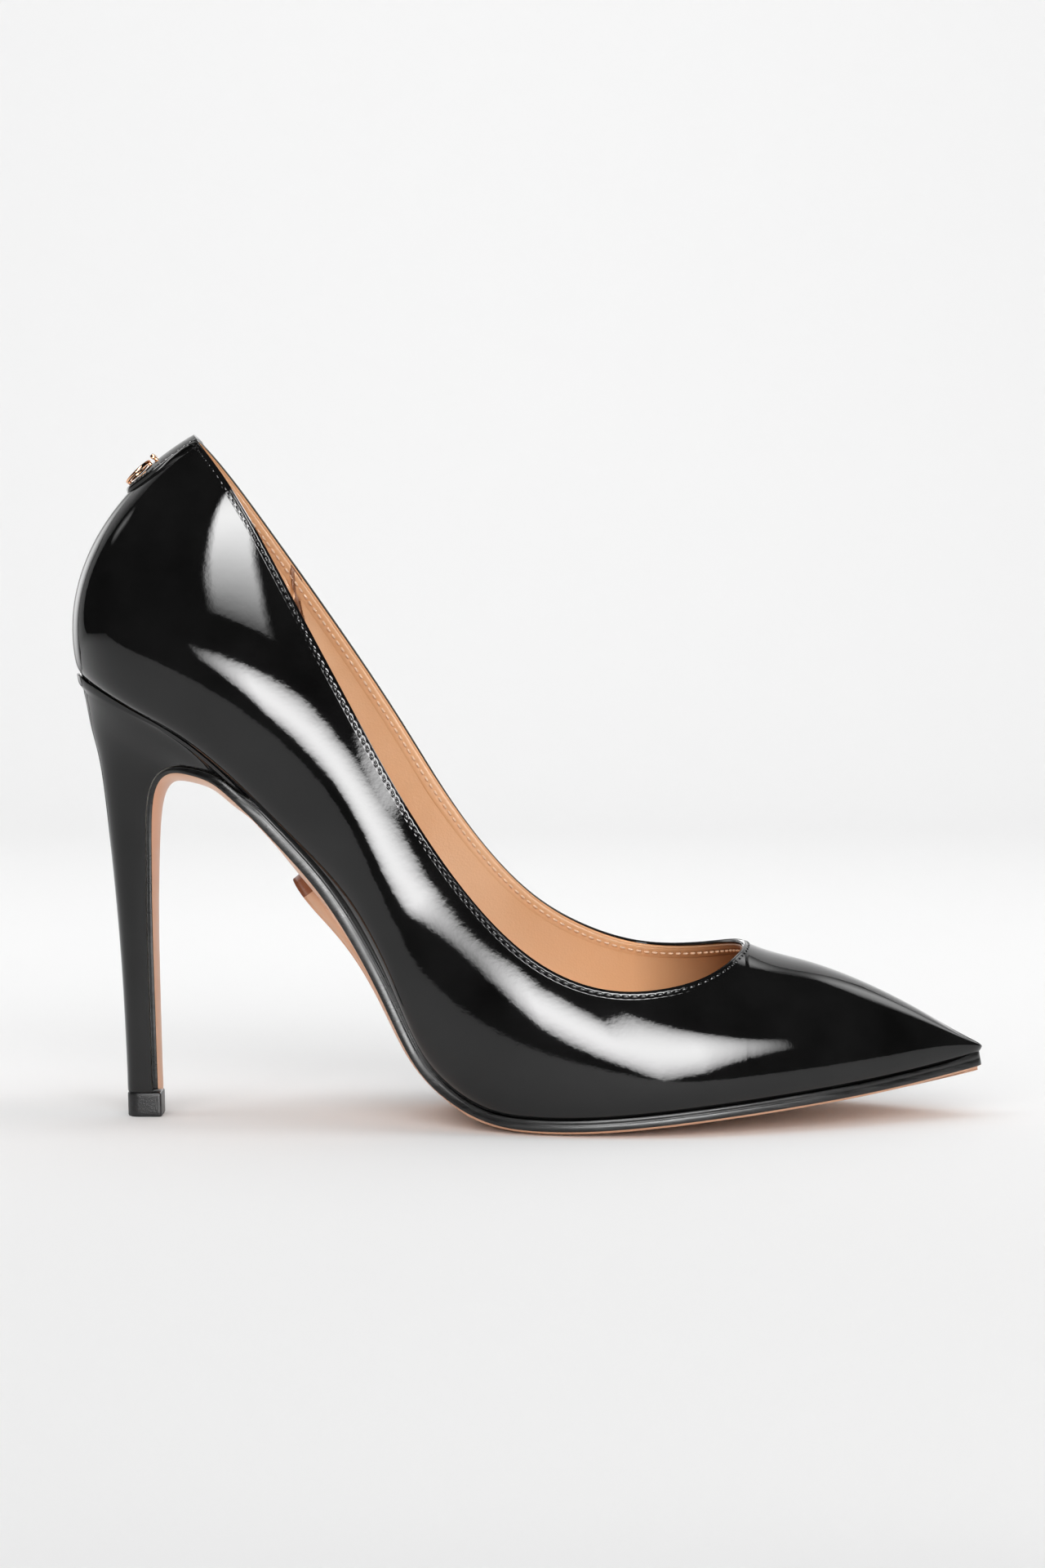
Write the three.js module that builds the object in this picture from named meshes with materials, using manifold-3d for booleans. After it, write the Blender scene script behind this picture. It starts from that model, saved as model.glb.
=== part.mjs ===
// Pointed stiletto pump for the right foot, as the separate pieces it is made of.
// Millimetres, +X to the toe, +Z up, +Y to the inner side of the foot. The origin is on the floor
// under the middle of the shoe.
import * as THREE from 'three';
import { mergeVertices } from 'three/addons/utils/BufferGeometryUtils.js';
import Module from 'manifold-3d';

const wasm = await Module();
wasm.setup();

// ---- driving dimensions ----
const GAP = 0.3;
const UPPER_THICKNESS = 1.0;
const UPPER_LIFT = 0.3;
const STIFFENER_THICKNESS = 0.9;
const LINING_THICKNESS = 0.7;
const LINING_GAP = 0.35;
const MARGIN_WIDTH = 7.5;
const BOARD_BOTTOM = 1.85;
const BOARD_TOP = 3.1;
const SHANK_BOARD_TOP = 3.5;
const FOAM_BOTTOM = 3.8;
const FOAM_TOP = 5.4;
const SOCK_BOTTOM = 5.7;
const SOCK_TOP = 6.5;
const SOLE_GAP = 0.15;
const TREAD_THICKNESS = 0.8;
const TREAD_GAP = 0.4;
const COVER_THICKNESS = 0.8;
const LIFT_HEIGHT = 6.2;
const LIFT_LENGTH = 8.8;
const LIFT_WIDTH = 9;
const LIFT_CENTRE_X = -98.1;

const OUTER = -1;
const INNER = 1;
const THROAT = 9;
const TOE = 13;

// A smooth curve through values at knots. End slopes are optional.
function spline(knots, values, startSlope, endSlope) {
  const n = knots.length - 1;
  const h = knots.slice(1).map((k, i) => k - knots[i]);
  const rise = h.map((step, i) => (values[i + 1] - values[i]) / step);
  const below = [];
  const middle = [];
  const above = [];
  const right = [];
  for (let i = 0; i <= n; i++) {
    const left = i > 0 ? 1 / h[i - 1] : 0;
    const next = i < n ? 1 / h[i] : 0;
    below.push(left);
    middle.push(2 * (left + next));
    above.push(next);
    right.push(3 * ((i > 0 ? rise[i - 1] / h[i - 1] : 0) + (i < n ? rise[i] / h[i] : 0)));
  }
  if (startSlope !== undefined) [middle[0], above[0], right[0]] = [1, 0, startSlope];
  if (endSlope !== undefined) [below[n], middle[n], right[n]] = [0, 1, endSlope];
  for (let i = 1; i <= n; i++) {
    const factor = below[i] / middle[i - 1];
    middle[i] -= factor * above[i - 1];
    right[i] -= factor * right[i - 1];
  }
  const slopes = [];
  slopes[n] = right[n] / middle[n];
  for (let i = n - 1; i >= 0; i--) slopes[i] = (right[i] - above[i] * slopes[i + 1]) / middle[i];
  return (t) => {
    if (t <= knots[0]) return values[0] + slopes[0] * (t - knots[0]);
    if (t >= knots[n]) return values[n] + slopes[n] * (t - knots[n]);
    let i = 0;
    while (t > knots[i + 1]) i++;
    const s = (t - knots[i]) / h[i];
    return values[i] * (1 + 2 * s) * (1 - s) ** 2 + values[i + 1] * s * s * (3 - 2 * s)
      + h[i] * s * (1 - s) * (slopes[i] * (1 - s) - slopes[i + 1] * s);
  };
}

const through = (points, startSlope, endSlope) =>
  spline(points.map((p) => p[0]), points.map((p) => p[1]), startSlope, endSlope);
const slopeOf = (curve, t) => (curve(t + 1e-3) - curve(t - 1e-3)) / 2e-3;
const mix = (a, b, t) => a + (b - a) * t;
const clamp01 = (t) => Math.min(1, Math.max(0, t));
const smooth = (a, b, t) => {
  const s = clamp01((t - a) / (b - a));
  return s * s * (3 - 2 * s);
};
const steps = (from, to, count) => Array.from({ length: count + 1 }, (_, i) => mix(from, to, i / count));

// ---- the last: stations run from the back of the heel (0) to the tip of the toe (13) ----
const STATIONS = [0, 1, 2, 3, 4, 5, 6, 7, 8, 9, 10, 11, 12, 13];
const featherX = spline(STATIONS,
  [-113, -109.4, -100, -85, -66, -47, -28, -7, 16, 40, 64, 87, 104.5, 112.8], 0, 0);
const featherY = {
  [OUTER]: spline(STATIONS, [0, 11.6, 19.4, 22, 20.6, 18.2, 21, 30, 35.3, 33.8, 26, 15, 5.6, 0], 12.5, -5.6),
  [INNER]: spline(STATIONS, [0, 11.6, 19.2, 21, 17.6, 14.2, 15.6, 25, 33, 35, 29, 17.4, 6.2, 0], 12.5, -5.6),
};
const featherZ = through([[-113, 111.8], [-100, 104.4], [-87, 97], [-75, 87], [-62, 73.4], [-50, 59.2],
  [-41, 45], [-34, 31.5], [-27.5, 18.5], [-20, 10], [-11, 5], [0, 3.4], [15, 3.7], [40, 5.9], [70, 8.8],
  [95, 11.8], [113, 14.8]]);
const bulgeOut = {
  [OUTER]: spline(STATIONS, [2.4, 3, 4, 4.8, 6.6, 9.2, 8, 4.6, 2.7, 2.4, 2.2, 2, 2, 2]),
  [INNER]: spline(STATIONS, [2.4, 3, 4, 4.8, 7, 9.5, 9.5, 6, 3.6, 3, 2.4, 2, 2, 2]),
};
const bulgeUp = spline(STATIONS, [5.2, 5.4, 6, 7.6, 11.4, 20, 22, 13, 7.4, 8.4, 8.8, 7.6, 5, 2.6]);
const ridgeFullness = spline([0, 3, 6, 9, 13], [0.75, 0.8, 0.95, 1.05, 1.1]);
const ridgeX = spline(STATIONS, [-61, -60.4, -57, -50, -37, -18.5, 0, 18.5, 37, 54.1, 70, 87, 102.5, 112.6]);
const ridgeZ = spline(STATIONS, [178.6, 178.6, 178.2, 176.4, 166.4, 143, 113, 82, 58, 44.3, 39.2, 32.8, 24.6, 17.6]);
// Round the throat the sections stand steeper: their foot runs ahead of their station.
const footStation = spline([0, 3, 5, 7, 9, 11, 13], [0, 3, 5, 7.2, 9.5, 11.3, 13]);
const topline = {
  [OUTER]: through([[-85, 172.3], [-78, 164.2], [-67.5, 148.2], [-58.5, 131.6], [-45.7, 107.6], [-32.6, 83.6],
    [-21, 65.8], [-9.3, 51.8], [0, 43.8], [10, 38.4], [22, 35.7], [34, 36.3], [45, 39.3], [54.1, 44]]),
  [INNER]: through([[-85, 172.3], [-79.5, 165.4], [-67.8, 149.2], [-55.5, 131.9], [-43.5, 114.6], [-32.3, 97.4],
    [-22, 80.8], [-9, 63.2], [0, 54.2], [13.7, 45.7], [28.6, 41.2], [40, 41], [49.3, 42.7], [54.1, 44.1]]),
};

function profileNormal(x) {
  return new THREE.Vector3(-slopeOf(featherZ, x), 0, 1).normalize();
}

// Outward direction of the feather line in plan, for half-widths counted positive.
function outwardInPlan(side, a) {
  if (a === 0 || a === TOE) return new THREE.Vector2(a === 0 ? -1 : 1, 0);
  const tangent = new THREE.Vector2(slopeOf(featherX, a), slopeOf(featherY[side], a)).normalize();
  return new THREE.Vector2(-tangent.y, tangent.x);
}

// The three points and four slopes that shape one section: feather line, bulge and ridge.
function lastFrame(side, a) {
  const foot = footStation(a);
  const out = outwardInPlan(side, foot);
  const x = featherX(foot);
  const feather = new THREE.Vector3(x, featherY[side](foot), featherZ(x))
    .addScaledVector(profileNormal(x), UPPER_LIFT);
  const reach = bulgeOut[side](foot);
  const bulge = feather.clone().add(new THREE.Vector3(out.x * reach, out.y * reach, bulgeUp(foot)));
  const ridge = new THREE.Vector3(ridgeX(a), 0, ridgeZ(a));
  const low = bulge.distanceTo(feather);
  const high = ridge.distanceTo(bulge) * 1.12;
  const start = new THREE.Vector3(out.x * 0.9, out.y * 0.9, 0.45).multiplyScalar(low + high);
  const slope = smooth(6, THROAT, a) * slopeOf(ridgeZ, a) / slopeOf(ridgeX, a);
  const across = new THREE.Vector3(ridge.x - bulge.x, -bulge.y, 0);
  across.z = across.x * slope;
  const end = across.normalize().multiplyScalar((low + high) * ridgeFullness(a));
  const split = low / (low + high);
  const rest = 1 - split;
  const pull = bulge.clone().sub(feather).divideScalar(split ** 2)
    .add(ridge.clone().sub(bulge).divideScalar(rest ** 2)).multiplyScalar(3);
  const middle = pull.sub(start.clone().divideScalar(split)).sub(end.clone().divideScalar(rest))
    .divideScalar(2 * (1 / split + 1 / rest));
  return { feather, bulge, ridge, start, middle, end, split, side };
}

function hermite(p, q, dp, dq, length, s) {
  return p.clone().multiplyScalar((1 + 2 * s) * (1 - s) ** 2)
    .addScaledVector(q, s * s * (3 - 2 * s))
    .addScaledVector(dp, length * s * (1 - s) ** 2)
    .addScaledVector(dq, -length * s * s * (1 - s));
}

// A point of a section: v runs from the feather line (0) over the bulge to the ridge (1).
function onFrame(frame, v) {
  const { split } = frame;
  const point = v < split
    ? hermite(frame.feather, frame.bulge, frame.start, frame.middle, split, v / split)
    : hermite(frame.bulge, frame.ridge, frame.middle, frame.end, 1 - split, (v - split) / (1 - split));
  point.y *= frame.side;
  return point;
}

const onLast = (side, a, v) => onFrame(lastFrame(side, a), v);

// Outward unit normal of the last, turned to the front near the tip so that inner layers never cross.
function lastNormal(side, a, v) {
  const step = 1e-3;
  const along = onLast(side, a + step, v).sub(onLast(side, a - step, v));
  const up = onLast(side, a, v + step).sub(onLast(side, a, v - step));
  const normal = along.cross(up).multiplyScalar(side === OUTER ? 1 : -1).normalize();
  const point = onLast(side, a, v);
  const axis = new THREE.Vector3(Math.min(point.x, 96), 0, featherZ(96) + 4.5);
  const fromAxis = point.clone().sub(axis).normalize();
  normal.lerp(fromAxis, smooth(10.8, 12.6, a)).normalize();
  if (a === 0 || a === TOE || v === 1) normal.y = 0;
  return normal.normalize();
}

function shifted(side, a, v, depth) {
  return onLast(side, a, v).addScaledVector(lastNormal(side, a, v), -depth);
}

// Where a station's section meets the topline; the vamp goes all the way to the ridge.
function topOf(side, a) {
  if (a >= THROAT) return 1;
  const frame = lastFrame(side, a);
  const edge = topline[a === 0 ? OUTER : side];
  let low = frame.split;
  let high = 1;
  for (let i = 0; i < 30; i++) {
    const v = (low + high) / 2;
    const point = onFrame(frame, v);
    if (point.z > edge(point.x)) high = v;
    else low = v;
  }
  return high;
}

// Where a section reaches a height over the feather line.
function heightOf(side, a, height) {
  const frame = lastFrame(side, a);
  let low = 0;
  let high = 1;
  for (let i = 0; i < 30; i++) {
    const v = (low + high) / 2;
    if (onFrame(frame, v).z > frame.feather.z + height) high = v;
    else low = v;
  }
  return high;
}

// ---- mesh building ----
class Soup {
  constructor() {
    this.corners = [];
  }

  triangle(a, b, c) {
    const area = new THREE.Vector3().subVectors(b, a).cross(new THREE.Vector3().subVectors(c, a)).length();
    if (area > 1e-7) this.corners.push(a, b, c);
  }

  // Rows of points, counter-clockwise seen from outside when flipped is false.
  grid(rows, flipped = false) {
    for (let i = 0; i + 1 < rows.length; i++) {
      for (let j = 0; j + 1 < rows[i].length; j++) {
        const [a, b, c, d] = [rows[i][j], rows[i + 1][j], rows[i + 1][j + 1], rows[i][j + 1]];
        if (flipped) {
          this.triangle(a, c, b);
          this.triangle(a, d, c);
        } else {
          this.triangle(a, b, c);
          this.triangle(a, c, d);
        }
      }
    }
  }

  geometry() {
    const geometry = new THREE.BufferGeometry();
    const numbers = this.corners.flatMap((p) => [p.x, p.y, p.z]);
    geometry.setAttribute('position', new THREE.Float32BufferAttribute(numbers, 3));
    return geometry;
  }
}

// A closed skin between two matching grids; walls are added along the sides that are named.
function addSkin(soup, outer, inner, flipped, walls) {
  soup.grid(outer, flipped);
  soup.grid(inner, !flipped);
  const last = outer.length - 1;
  if (walls.start) soup.grid([outer[0], inner[0]], !flipped);
  if (walls.end) soup.grid([outer[last], inner[last]], flipped);
  const edge = (grid, pick) => grid.map(pick);
  if (walls.bottom) soup.grid([edge(outer, (r) => r[0]), edge(inner, (r) => r[0])], flipped);
  if (walls.top) {
    const rows = outer.map((row, i) => [row[row.length - 1], inner[i][inner[i].length - 1]]);
    const open = rows.filter((row, i) => walls.top(i));
    soup.grid([open.map((r) => r[0]), open.map((r) => r[1])], !flipped);
  }
}

const SIDES = [OUTER, INNER];

// A layer of the shoe's wall over a range of stations. The two depths give how far in from the outer
// surface its faces lie, bottomV and topV bound it, and seam is half the slit at an open back seam.
function wallLayer({
  sides = SIDES, stations, bottomV, topV, rows, outerDepth, innerDepth, closedToe, closedBack, foot, seam = 0,
}) {
  const soup = new Soup();
  for (const side of sides) {
    const outer = [];
    const inner = [];
    const tops = [];
    for (const a of stations) {
      const low = bottomV(side, a);
      const high = topV(side, a);
      const split = Math.max(low, lastFrame(side, a).split);
      const levels = [...steps(low, split, 3), ...steps(split, high, rows).slice(1)];
      const faces = [levels.map((v) => shifted(side, a, v, outerDepth(a, v, high))),
        levels.map((v) => shifted(side, a, v, innerDepth(a, v, high)))];
      if (foot) foot(side, a, faces);
      if (seam) faces.flat().forEach((point) => point.setY(side * Math.max(seam, side * point.y)));
      outer.push(faces[0]);
      inner.push(faces[1]);
      tops.push(high);
    }
    addSkin(soup, outer, inner, side === INNER, {
      start: !closedBack,
      end: !closedToe,
      bottom: true,
      top: (i) => tops[i] < 1 || tops[Math.max(0, i - 1)] < 1,
    });
  }
  return soup.geometry();
}

// ---- pieces of the upper ----
const BACK_STATIONS = steps(0, 1, 3);
const SIDE_STATIONS = [...steps(1, 5.5, 9).slice(1), ...steps(5.5, 7.5, 8).slice(1), 8];
const THROAT_STATIONS = [8.4, 8.65, 8.8, 8.89, 8.95, 8.98, 8.995, 9];
const VAMP_STATIONS = [9.3, 9.6, 10, 10.5, 11, 11.5, 12, 12.4, 12.7, 12.9, 13];
const ALL_STATIONS = [...BACK_STATIONS, ...SIDE_STATIONS, ...THROAT_STATIONS, ...VAMP_STATIONS];

// The lasting margin: the upper's foot turns in under the insole.
function lastingMargin(side, a, faces) {
  const out = outwardInPlan(side, footStation(a));
  const [outer, inner] = faces;
  const feather = outer[0].clone();
  const place = (inset, lift) => {
    const x = feather.x - out.x * inset;
    const y = feather.y - side * out.y * inset;
    return new THREE.Vector3(x, side * Math.max(0, side * y), featherZ(x))
      .addScaledVector(profileNormal(x), lift);
  };
  inner[0] = place(UPPER_THICKNESS, UPPER_LIFT + UPPER_THICKNESS);
  outer.unshift(place(MARGIN_WIDTH, UPPER_LIFT));
  inner.unshift(place(MARGIN_WIDTH, UPPER_LIFT + UPPER_THICKNESS));
}

const WALL_ROWS = 8;
const UPPER_SEAM = 5.5;
const upperWall = {
  bottomV: () => 0,
  topV: (side, a) => topOf(side, a),
  rows: WALL_ROWS,
  outerDepth: () => 0,
  innerDepth: () => UPPER_THICKNESS,
  closedBack: false,
  foot: lastingMargin,
};
const makeQuarter = (side) => wallLayer({
  ...upperWall,
  sides: [side],
  stations: ALL_STATIONS.filter((a) => a <= UPPER_SEAM),
  closedToe: false,
  seam: GAP / 2,
});
const makeVamp = () => wallLayer({
  ...upperWall,
  stations: [UPPER_SEAM + 0.02, ...ALL_STATIONS.filter((a) => a > UPPER_SEAM + 0.1)],
  closedToe: true,
});

// The lining stands further in where a stiffener lies between it and the upper.
const liningFace = (a, v, top) => UPPER_THICKNESS + LINING_GAP
  + (STIFFENER_THICKNESS + GAP) * Math.max(1 - smooth(4.2, 5.2, a), smooth(10, 10.8, a))
  * (a > 9 ? 1 : smooth(0.03, 0.12, top - v));
const floorOfLining = (side, a) => {
  const slope = slopeOf(featherZ, featherX(footStation(a)));
  return heightOf(side, a, BOARD_TOP * Math.hypot(1, slope) + GAP);
};
const LINING_SEAM = 6.5;
const TOE_OF_LINING = 12.4;

function makeQuarterLining() {
  return wallLayer({
    stations: ALL_STATIONS.filter((a) => a <= LINING_SEAM),
    bottomV: floorOfLining,
    topV: (side, a) => topOf(side, a),
    rows: WALL_ROWS,
    outerDepth: liningFace,
    innerDepth: (a, v, top) => liningFace(a, v, top) + LINING_THICKNESS,
    closedToe: false,
    closedBack: true,
  });
}

function makeVampLining() {
  return wallLayer({
    stations: [LINING_SEAM + 0.03, 6.75, 7, 7.25, 7.5, 8, ...THROAT_STATIONS, 9.3, 9.6, 10, 10.5, 11, 11.5, 12, TOE_OF_LINING],
    bottomV: floorOfLining,
    topV: (side, a) => topOf(side, a),
    rows: WALL_ROWS,
    outerDepth: liningFace,
    innerDepth: (a, v, top) => liningFace(a, v, top) + LINING_THICKNESS,
    closedToe: false,
    closedBack: false,
  });
}

const stiffenerDepths = {
  outerDepth: () => UPPER_THICKNESS + GAP,
  innerDepth: () => UPPER_THICKNESS + GAP + STIFFENER_THICKNESS - 0.2,
};

function makeHeelCounter() {
  return wallLayer({
    stations: [...BACK_STATIONS, ...steps(1, 4, 6).slice(1)],
    bottomV: (side, a) => heightOf(side, a, 4.6),
    topV: (side, a) => mix(lastFrame(side, a).split, topOf(side, a) - 0.13, 1 - 0.55 * smooth(1, 4, a)),
    rows: 5,
    closedToe: false,
    closedBack: true,
    ...stiffenerDepths,
  });
}

function makeToePuff() {
  return wallLayer({
    stations: [10.9, 11.4, 11.9, 12.4, 12.7, 13],
    bottomV: (side, a) => heightOf(side, a, Math.min(3.6, 0.55 * (ridgeZ(a) - lastFrame(side, a).feather.z))),
    topV: () => 1,
    rows: 4,
    closedToe: true,
    closedBack: false,
    ...stiffenerDepths,
  });
}

// A patch over the top of the back seam; its lower edge is a rounded V.
const TAB_THICKNESS = 0.8;
const TAB_HALF = 1.15;
const TAB_DEPTH = 0.225;

function makeHeelTab() {
  return wallLayer({
    stations: steps(0, 1, 8).map((s) => TAB_HALF * Math.sin(s * Math.PI / 2)),
    bottomV: (side, a) => topOf(side, a) - TAB_DEPTH * (0.12 + 0.88 * Math.sqrt(1 - (a / TAB_HALF) ** 3)),
    topV: (side, a) => topOf(side, a),
    rows: 3,
    outerDepth: () => -GAP - TAB_THICKNESS,
    innerDepth: () => -GAP,
    closedToe: false,
    closedBack: true,
  });
}

// ---- layers of the bottom, stacked on the feather line's profile ----
// How far the middle of the bottom hangs below its edges.
const crownAt = through([[-113, 1.2], [-100, 1.8], [-85, 1.8], [-70, 1.4], [-62, 1.5], [-54, 2.2], [-46, 1.4],
  [-38, 0.6], [-25, 0.2], [-10, 0], [0, 0], [113, 0]]);

// One row across the bottom. span is the part of it that a narrower piece covers.
function bottomRow(a, inset, halfWidth = Infinity) {
  const ends = SIDES.map((side) => {
    const out = outwardInPlan(side, a);
    const x = featherX(a) - out.x * inset;
    return new THREE.Vector3(x, side * Math.max(0, featherY[side](a) - out.y * inset), featherZ(x));
  });
  const width = ends[1].y - ends[0].y;
  const span = SIDES.map((side) => clamp01((side * halfWidth - ends[0].y) / width));
  const x = (ends[0].x + ends[1].x) / 2;
  return { ends, span, normal: profileNormal(x), crown: crownAt(x) };
}

// A sheet between two heights over a run of rows, each row crossing the shoe from outside to inside.
function ribbon(rows, lowOf, highOf, floor = -Infinity) {
  const soup = new Soup();
  const build = (heightOfRow) => rows.map((row) => steps(row.span[0], row.span[1], 4).map((f) => {
    const sag = row.crown * (1 - (2 * f - 1) ** 2);
    const point = row.ends[0].clone().lerp(row.ends[1], f).addScaledVector(row.normal, heightOfRow(row) - sag);
    return point.setZ(Math.max(floor, point.z));
  }));
  const low = build(lowOf);
  const high = build(highOf);
  const everyEdge = { start: true, end: true, bottom: true, top: () => true };
  addSkin(soup, high, low, false, everyEdge);
  return soup.geometry();
}

// Rows of the flat sheets inside the shoe.
const sheetRows = (stations, inset, halfWidth) => stations.map((a) => ({
  ...bottomRow(a, inset, halfWidth), crown: 0,
}));

const REAR_OF_BOARD = 6.5;

// Stations of a bottom piece, in line with the feet of the upper's sections.
const between = (from, to) => [
  from,
  ...[...BACK_STATIONS, ...SIDE_STATIONS, THROAT, ...VAMP_STATIONS].map(footStation)
    .filter((a) => a > from + 0.1 && a < to - 0.1),
  to,
];

const makeInsoleBoard = () => ribbon(sheetRows(between(REAR_OF_BOARD + 0.02, 12.5), 2.2),
  () => BOARD_BOTTOM, () => BOARD_TOP);
const makeShankBoard = () => ribbon(sheetRows(between(0.3, REAR_OF_BOARD - 0.02), 2.2),
  () => BOARD_BOTTOM, () => SHANK_BOARD_TOP);
const makeSockFoam = () => ribbon(sheetRows(between(0.6, 12.2), 4.2), () => FOAM_BOTTOM, () => FOAM_TOP);
const makeSock = () => ribbon(sheetRows(between(0.6, 12.2), 3.9), () => SOCK_BOTTOM, () => SOCK_TOP);
const makeBottomFiller = () => ribbon(sheetRows(between(6.8, 11.6), MARGIN_WIDTH + 1),
  () => UPPER_LIFT, () => BOARD_BOTTOM - GAP);

const SHANK_WIDTH = 11;
const SHANK_THICKNESS = 1;
const makeSteelShank = () => ribbon(
  sheetRows([2.2, 2.5, 3, 3.5, 4, 4.5, 5, 5.5, 6], MARGIN_WIDTH + 1, SHANK_WIDTH / 2),
  () => UPPER_LIFT,
  () => UPPER_LIFT + SHANK_THICKNESS,
);

// ---- the outsole: from the toe to the waist, then down the breast of the heel ----
const ARCH = [0, 1, 2, 3, 4, 5, 6, 7, 8, 9];
const archX = spline(ARCH, [-70, -77, -84, -90, -94.4, -96.6, -97, -97, -96.6, -96]);
const SEAT_GAP = 0.8;
const archZ = spline(ARCH, [featherZ(-70) - SEAT_GAP, 86.7, 89.1, 89.2, 86.2, 79, 66, 50, 30, 7.4], 5.4, -20);
const archHalf = spline(ARCH, [20.6, 19, 16.2, 12.8, 9.4, 7.2, 6, 5.2, 4.5, 4]);
const archCrown = spline([0, 2, 4, 6, 9], [2.4, 2.6, 2.2, 1.2, 0.8]);
const ARCH_END = 9;
const WAIST_STATION = 3.79;

function archRow(s) {
  const tangent = new THREE.Vector2(slopeOf(archX, s), slopeOf(archZ, s)).normalize();
  const half = archHalf(s);
  return {
    ends: SIDES.map((side) => new THREE.Vector3(archX(s), side * half, archZ(s))),
    span: [0, 1],
    normal: new THREE.Vector3(tangent.y, 0, -tangent.x),
    crown: archCrown(s),
    s,
  };
}

const soleThickness = (a) => mix(2.8, 2, smooth(5.8, 7, a));
// The forepart of the sole reaches out flush with the bulge of the upper.
const soleOutset = (a) => 1.5 * smooth(6, 7.6, a);
const breastThickness = (s) => mix(2.3, 1.3, smooth(0, 4, s));

function makeOutsole() {
  const frontRows = between(WAIST_STATION + 0.15, TOE).reverse()
    .map((a) => ({ ...bottomRow(a, -soleOutset(a)), a }));
  const archRows = [0.25, 0.6, 1, 1.5, 2, 2.5, 3, 3.4, 3.8, 4.2, 4.6, 5, 5.5, 6, 7, 8, 8.7].map(archRow);
  const roundedEnd = [[8.85, 0.85], [8.95, 0.5]].map(([s, share]) => {
    const row = archRow(s);
    row.ends.forEach((end) => end.setY(end.y * share));
    return row;
  });
  const rows = [...frontRows, ...archRows, ...roundedEnd].map((row) => ({
    ...row, ends: [row.ends[1], row.ends[0]],
  }));
  const thickness = (row) => (row.a === undefined ? breastThickness(row.s) : soleThickness(row.a));
  return ribbon(rows, (row) => -SOLE_GAP - thickness(row), () => -SOLE_GAP);
}

// The tread covers the forepart and ends in a narrow rounded tongue under the waist. Its underside is
// ground flat where the shoe stands.
const TONGUE_END = 4.6;
const TONGUE_ROUND = 0.5;
const tongueHalf = through([[4.6, 9.5], [5.1, 10.4], [5.7, 12.8], [6.3, 18.5], [6.8, 30]]);
const GROUND_OFF = 0.3;

function treadHalf(a) {
  if (a > 6.8) return Infinity;
  const past = Math.max(0, (TONGUE_END + TONGUE_ROUND - a) / TONGUE_ROUND);
  return tongueHalf(a) * Math.max(0.35, Math.sqrt(1 - Math.min(1, past) ** 2));
}

function makeForepartTread() {
  const rounded = [0, 0.04, 0.12, 0.25, 0.4].map((s) => TONGUE_END + s);
  const stations = [...rounded, ...between(5.12, TOE - 0.1)];
  const rows = stations.map((a) => ({ ...bottomRow(a, 0.5, treadHalf(a)), a }));
  const top = (row) => -SOLE_GAP - soleThickness(row.a) - TREAD_GAP;
  return ribbon(rows, (row) => top(row) - TREAD_THICKNESS - GROUND_OFF, top, 0);
}

// ---- the heel ----
const LEVELS = steps(0, ARCH_END, 18);
const backX = spline(ARCH, [-113, -113.2, -112.7, -112.1, -111, -109, -107, -105.2, -103.7, -102.7]);
const backZ = spline(ARCH, [featherZ(-113) - SEAT_GAP, 108.9, 106.2, 102.8, 97.4, 88.5, 72, 53, 31, 6.7]);
const widest = spline([0, 3, 6, 9], [0.62, 0.7, 0.66, 0.6]);
const seatShape = (level) => 1 - smooth(0, 3.2, level);
const RIM_LIFT = 0.15;

// The heel's side wall: t runs from the back (0) to the rim of the breast (1).
function heelSide(side, t, level) {
  const row = archRow(level);
  const bottom = level > 8.8 ? smooth(8.8, 9, level) : 0;
  const rimX = row.ends[0].x + row.normal.x * RIM_LIFT;
  const rimZ = mix(row.ends[0].z + row.normal.z * RIM_LIFT, LIFT_HEIGHT + 0.5, bottom);
  const rimY = Math.abs(row.ends[0].y);
  const u = 1 - Math.cos(t * Math.PI / 2);
  const x = mix(backX(level), rimX, u);
  const seatX = mix(backX(0), archX(0), u);
  const seatSag = featherZ(seatX) - mix(featherZ(backX(0)), featherZ(archX(0)), u);
  const z = mix(backZ(level), rimZ, u) + seatShape(level) * seatSag;
  const centre = widest(level);
  const nose = Math.abs(1 - Math.min(u, centre) / centre);
  const rounded = (1 - nose ** 2.15) ** (1 / 2.15);
  const past = clamp01((u - centre) / (1 - centre));
  const tuck = 0.04 + 0.08 * smooth(3, 7, level);
  return new THREE.Vector3(x, side * rimY * rounded * (1 - tuck * past ** 2) / (1 - tuck), z);
}

function heelNormal(side, t, level) {
  const step = 1e-3;
  const along = heelSide(side, t + step, level).sub(heelSide(side, Math.max(0, t - step), level));
  const down = heelSide(side, t, Math.min(ARCH_END, level + step))
    .sub(heelSide(side, t, Math.max(0, level - step)));
  const normal = down.cross(along).multiplyScalar(side === OUTER ? 1 : -1);
  normal.z = 0;
  if (t === 0) normal.y = 0;
  return normal.normalize();
}

const AROUND = steps(0, 1, 7);

const heelInset = (side, t, level, depth) =>
  heelSide(side, t, level).addScaledVector(heelNormal(side, t, level), -depth);

function makeHeelCover() {
  const soup = new Soup();
  for (const side of SIDES) {
    const face = (depth) => AROUND.map((t) => LEVELS.map((level) => heelInset(side, t, level, depth)));
    addSkin(soup, face(0), face(COVER_THICKNESS), side === OUTER,
      { start: false, end: true, bottom: true, top: () => true });
  }
  return soup.geometry();
}

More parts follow.
